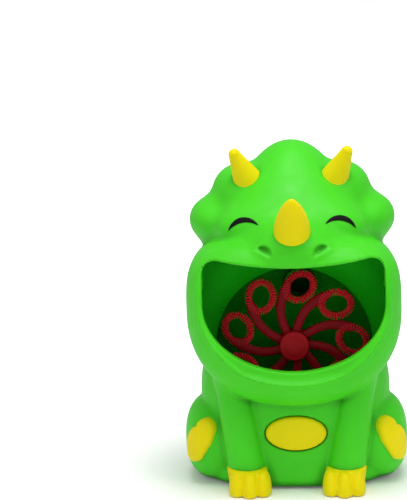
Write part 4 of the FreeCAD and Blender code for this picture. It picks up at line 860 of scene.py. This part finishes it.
# Painted light and shade: the arms and hub take the darker red, the rings' ribs the brighter red.
piece("wand_wheel_shape", wheel.points, wheel.faces, RED, "wheel", ["wand_wheel"], "red_wheel")
piece("wand_rings_shape", rings.points, rings.faces, RED_PAINTED_LIGHT, "wheel", ["wand_wheel"], "red_wheel")
cap_profile = [
    (0, -8.3),
    (4, -8.25),
    (6.6, -8.05),
    (7.5, -7.75),
    (8.3, -7.9),
    (8.9, -7.75),
    (9.3, -7.3),
    (9.5, -6.6),
    (9.2, -6.15),
    (0, -6.15),
]
piece("hub_cap_shape", *lathe(cap_profile, AXLE), HUB_RED, "wheel", ["hub_cap"], "red_hub")

# ---------------------------------------------------------------- studio


def seen_by_camera(tree):
    return tree.nodes.new("ShaderNodeLightPath").outputs["Is Camera Ray"]


def product(tree, first, second):
    node = tree.nodes.new("ShaderNodeMath")
    node.operation = "MULTIPLY"
    tree.links.new(first, node.inputs[0])
    tree.links.new(second, node.inputs[1])
    return node.outputs[0]


def sweep(half):
    """A pale floor that fades to plain white away from the toy."""
    paper, tree, shader = nodes_of("studio_paper")
    pale = blend_colours(tree, noise(tree, 3, 2), (0.93, 0.93, 0.93), (0.96, 0.96, 0.96))
    tree.links.new(pale, shader.inputs["Base Color"])
    shader.inputs["Roughness"].default_value = 0.9
    shader.inputs["Specular IOR Level"].default_value = 0.1
    place = tree.nodes.new("ShaderNodeTexCoord")
    distance = tree.nodes.new("ShaderNodeVectorMath")
    distance.operation = "LENGTH"
    tree.links.new(place.outputs["Object"], distance.inputs[0])
    fade = spread(tree, distance.outputs["Value"], 0.1, 1.0, 0.08, 0.35)
    tree.links.new(product(tree, fade, seen_by_camera(tree)), shader.inputs["Emission Strength"])
    shader.inputs["Emission Color"].default_value = (1, 1, 1, 1)
    data = bpy.data.meshes.new("floor")
    data.from_pydata(
        [(-half, -half, 0), (half, -half, 0), (half, half, 0), (-half, half, 0)], [], [(0, 1, 2, 3)]
    )
    data.materials.append(paper)
    result = bpy.data.objects.new("floor", data)
    bpy.context.scene.collection.objects.link(result)


sweep(6.0)


def lamp(name, place, aim, size, watts, colour=(1, 1, 1)):
    data = bpy.data.lights.new(name, "AREA")
    data.shape = "DISK"
    data.size = size
    data.energy = watts
    data.color = colour
    result = bpy.data.objects.new(name, data)
    result.location = place
    result.rotation_mode = "QUATERNION"
    result.rotation_quaternion = (Vector(aim) - Vector(place)).to_track_quat("-Z", "Y")
    bpy.context.scene.collection.objects.link(result)
    return result


MIDDLE = (0, 0, 0.11)
lamp("overhead", (0.05, -0.25, 1.25), MIDDLE, 0.8, 9)
lamp("key", (0.8, -0.7, 0.9), MIDDLE, 0.5, 2)
lamp("fill", (-0.9, -0.7, 0.8), MIDDLE, 0.8, 1.5)

world = bpy.data.worlds.new("studio")
world.use_nodes = True
world_tree = world.node_tree
background = world_tree.nodes["Background"]
background.inputs["Color"].default_value = (1, 1, 1, 1)
WORLD_LIGHT = 0.42
world_tree.links.new(
    spread(world_tree, seen_by_camera(world_tree), WORLD_LIGHT, 1, 0, 1), background.inputs["Strength"]
)
scene = bpy.context.scene
scene.world = world
scene.view_settings.view_transform = "Standard"

# ---------------------------------------------------------------- camera

ELEVATION, DISTANCE = math.radians(10), 0.9
AIM = Vector((0, -0.010, 0.108))
FOCAL = 1380.4 / 500  # focal length over the picture's height
ASIDE, DOWN, ROLL = 90.0 / 1380.4, 61.5 / 1380.4, math.radians(1)
back = Vector((0, -math.cos(ELEVATION), math.sin(ELEVATION)))
camera_data = bpy.data.cameras.new("camera")
camera_data.sensor_width = 36
camera_data.lens = 36 * FOCAL
camera = bpy.data.objects.new("camera", camera_data)
camera.location = AIM + back * DISTANCE
turn = (-back).to_track_quat("-Z", "Y").to_matrix()
turn = turn @ Matrix.Rotation(-ROLL, 3, "Z") @ Matrix.Rotation(math.atan(ASIDE), 3, "Y") @ Matrix.Rotation(
    math.atan(DOWN), 3, "X"
)
camera.rotation_mode = "QUATERNION"
camera.rotation_quaternion = turn.to_quaternion()
scene.collection.objects.link(camera)
scene.camera = camera
